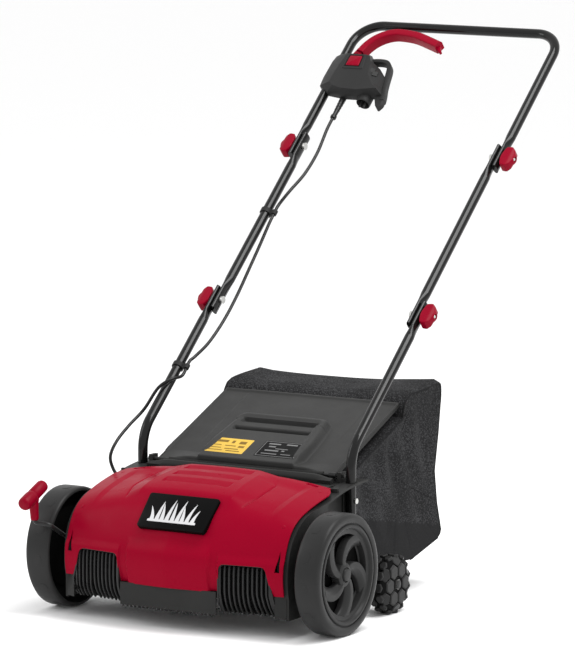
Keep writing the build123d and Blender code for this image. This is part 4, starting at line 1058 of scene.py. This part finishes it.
HOOK_LINE = [(-150, 936), (-131, 937.5), (-116, 935), (-107, 926), (-102.5, 913), (-99, 895), (-94, 872),
             (-88, 852), (-85, 838)]
across = tuple(np.array(H(0, 0, 1)) - np.array(H(0, 0, 0)))
band = sweep([H(x, s, 0) for x, s in smooth_line(HOOK_LINE, 60)],
             rounded([(-4.4, -7.5), (4.4, -7.5), (4.4, 7.5), (-4.4, 7.5)], 1.6, 3), up=across)
leaf_edge = [(-99, 862), (-86, 862), (-80.5, 842), (-80, 828), (-86, 815.5), (-94, 824), (-103, 842)]
leaf = prism(rounded(leaf_edge, 6, 4), [(-6.5, 2.4), (-4.5, 0.4), (4.5, 0.4), (6.5, 2.4)], H)
box_piece("lead_hook", join([band, leaf]), sharp=40, replaces="cable_hook")


def turned_s(profile, x, segments=64):
    """A body turned about a line along the handle. profile is (s, radius)."""
    rows = [H(x + u, s, n) for s, r in profile for u, n in ring(r, segments)]
    return rows, tube_faces(len(profile), segments)


low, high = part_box("plug_inlet")
inlet_x = (low.x + high.x) / 2 * 1000
shroud = [(855, 11.0), (855, 13.9), (833, 13.9), (831.4, 13.6), (830.2, 12.9), (830.0, 12.2), (831, 11.7),
          (846, 11.5), (846, 0.4)]
pin = [(846, 2.0), (824, 2.0), (822.6, 1.4), (822.2, 0.3)]
pins = [turned_s(pin, inlet_x + dx, 20) for dx in (-4.5, 4.5)]
box_piece("lead_inlet", join([turned_s(shroud, inlet_x)] + pins), sharp=40, replaces="plug_inlet")

# -------- switch lever

LEVER_LINE = [(-176, 948), (-170, 966), (-158, 984), (-140, 997), (-120, 1003), (-96, 1002), (-72, 997.5),
              (-44, 987), (-18, 976.5)]
channel = sweep([H(x, s, 10) for x, s in smooth_line(LEVER_LINE, 90)],
                rounded([(-9.0, -9.0), (9.5, -9.0), (9.5, 12.0), (4.0, 12.0), (-4.0, 12.0), (-9.0, 6.5)],
                        [1.5, 1.5, 2.5, 2.0, 3.0, 2.5], 3), up=across)
finger_edge = [(-24, 977), (-19.5, 968), (-12.5, 961.5), (-9.0, 964.5), (-13.5, 971), (-17, 981)]
finger = prism(rounded(finger_edge, 1.6, 3), [(5.0, 0.8), (6.0, 0), (12.0, 0), (13.0, 0.8)], H)
ARM = [(2.2, 0.6), (2.8, 0), (17.2, 0), (17.8, 0.6)]
pivot = prism([(x - 182, s + 937) for x, s in ring(8.0, 40)], ARM, H)
neck = prism([(-190, 934), (-174, 934), (-167, 955), (-183, 957)], ARM, H)
make("lever_channel", join([channel, finger, pivot, neck]), "red_small", "lever", sharp=38, outward=True,
     replaces="switch_lever")

# -------- cable, its sleeve and its clips


SLEEVE_X = -171
SLEEVE_RADII = (6.3, 6.2, 6.0, 5.7, 5.4, 5.1, 4.8, 4.6, 4.45, 4.35)
parts = [turned_s([(853 - 6.4 * i, r) for i, r in enumerate(SLEEVE_RADII)], SLEEVE_X, 32),
         turned_s([(796.5, 4.3), (796.0, 5.6), (793.0, 5.9), (790.0, 5.6), (789.5, 4.3)], SLEEVE_X, 32)]
for i in range(6):
    s, r = 846 - i * 7.0, 6.5 - 0.26 * i
    parts.append(turned_s([(s + 1.2, 5.2), (s + 0.8, r), (s - 0.8, r - 0.1), (s - 1.2, 5.0)], SLEEVE_X, 32))
box_piece("bend_sleeve", join(parts), "cable_rubber", sharp=40, replaces="bend_protector")


def cable(name, route, body, replaced):
    """A stretch of the round cable through its route's points."""
    tube = sweep(smooth_line(route, 30 * len(route)), ring(3.0, 16))
    return make(name, tube, "cable_rubber", body, sharp=60, outward=True, replaces=replaced)


UPPER_ROUTE = [(-171, 812, 0), (-171, 764, 0), (-168, 705, -4), (-171, 650, -4), (-179, 600, 1),
               (-187.2, 565, 0), (-187.2, 544, 0)]
MIDDLE_ROUTE = [(-187.2, 546, 0), (-187.2, 520, -1), (-188, 470, -8), (-188.5, 415, -14), (-189, 355, -20),
                (-189.5, 295, -21), (-191, 235, -15), (-195, 190, -4), (-198, 175, 0), (-198, 159, 0)]
LOWER_ROUTE = [H(-198, 161, 0), H(-198, 138, 0), H(-205, 116, 14), H(-221, 92, 15), D(-240, 196, 330),
               D(-248, 158, 305), D(-250, 120, 282), D(-250, 98, 258), D(-245, 98, 236), D(-232, 99, 220),
               D(-214, 100, 214), D(-207, 100, 214)]
piece = cable("cable_to_box", [H(*p) for p in UPPER_ROUTE], None, "cable_upper")
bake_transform(piece)
piece = cable("cable_past_joint", [H(*p) for p in MIDDLE_ROUTE], None, "cable_middle")
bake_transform(piece)
cable("cable_to_deck", LOWER_ROUTE, "deck", "cable_lower")
bush = [(0, 3.0), (0, 5.6), (2.0, 6.4), (4.0, 5.6), (6.0, 5.2), (6.0, 3.0)]
make("cable_bush", lathe_x(bush, (-209.5, 100, 214), -1, 28), "cable_rubber", "deck", outward=True,
     replaces="cable_gland")

# -------- depth grip

GRIP = (-275.0, -116.0, 215.5)
TILT = math.radians(23.0)


def grip_point(x, y, z):
    """A point from the grip's middle: across, along its bar, and up."""
    return D(GRIP[0] + x, GRIP[1] + y * math.cos(TILT) - z * math.sin(TILT),
             GRIP[2] + y * math.sin(TILT) + z * math.cos(TILT))


BAR = [(-36, 1.5), (-36, 7.0), (-35.4, 9.2), (-34.0, 10.8), (-31.6, 11.8), (-28, 12.2), (-10, 12.2),
       (-3.4, 11.4), (-2.6, 10.9), (-1.8, 11.4), (28, 11.4), (31.6, 11.0), (34.0, 10.0), (35.4, 8.6),
       (36, 6.4), (36, 1.5)]
bar = [grip_point(x, y, z) for y, r in BAR for x, z in ring(r, 56)], tube_faces(len(BAR), 56)
stem_line = smooth_line([D(GRIP[0], GRIP[1] + y, GRIP[2] + z)
                         for y, z in ((4, -44.5), (3.4, -36), (2, -24), (1, -12), (0, 0))], 28)
widths = np.interp(np.linspace(0, 1, 28), (0, 0.06, 0.3, 0.7, 1), (6.6, 7.5, 7.8, 9.0, 11.5))
stem = sweep(stem_line, ring(1.0, 40), up=(0, 1, 0), scale=widths)
make("depth_grip_tee", join([bar, stem]), "red_small", "front_axle_assembly", sharp=50, outward=True,
     replaces="depth_grip")
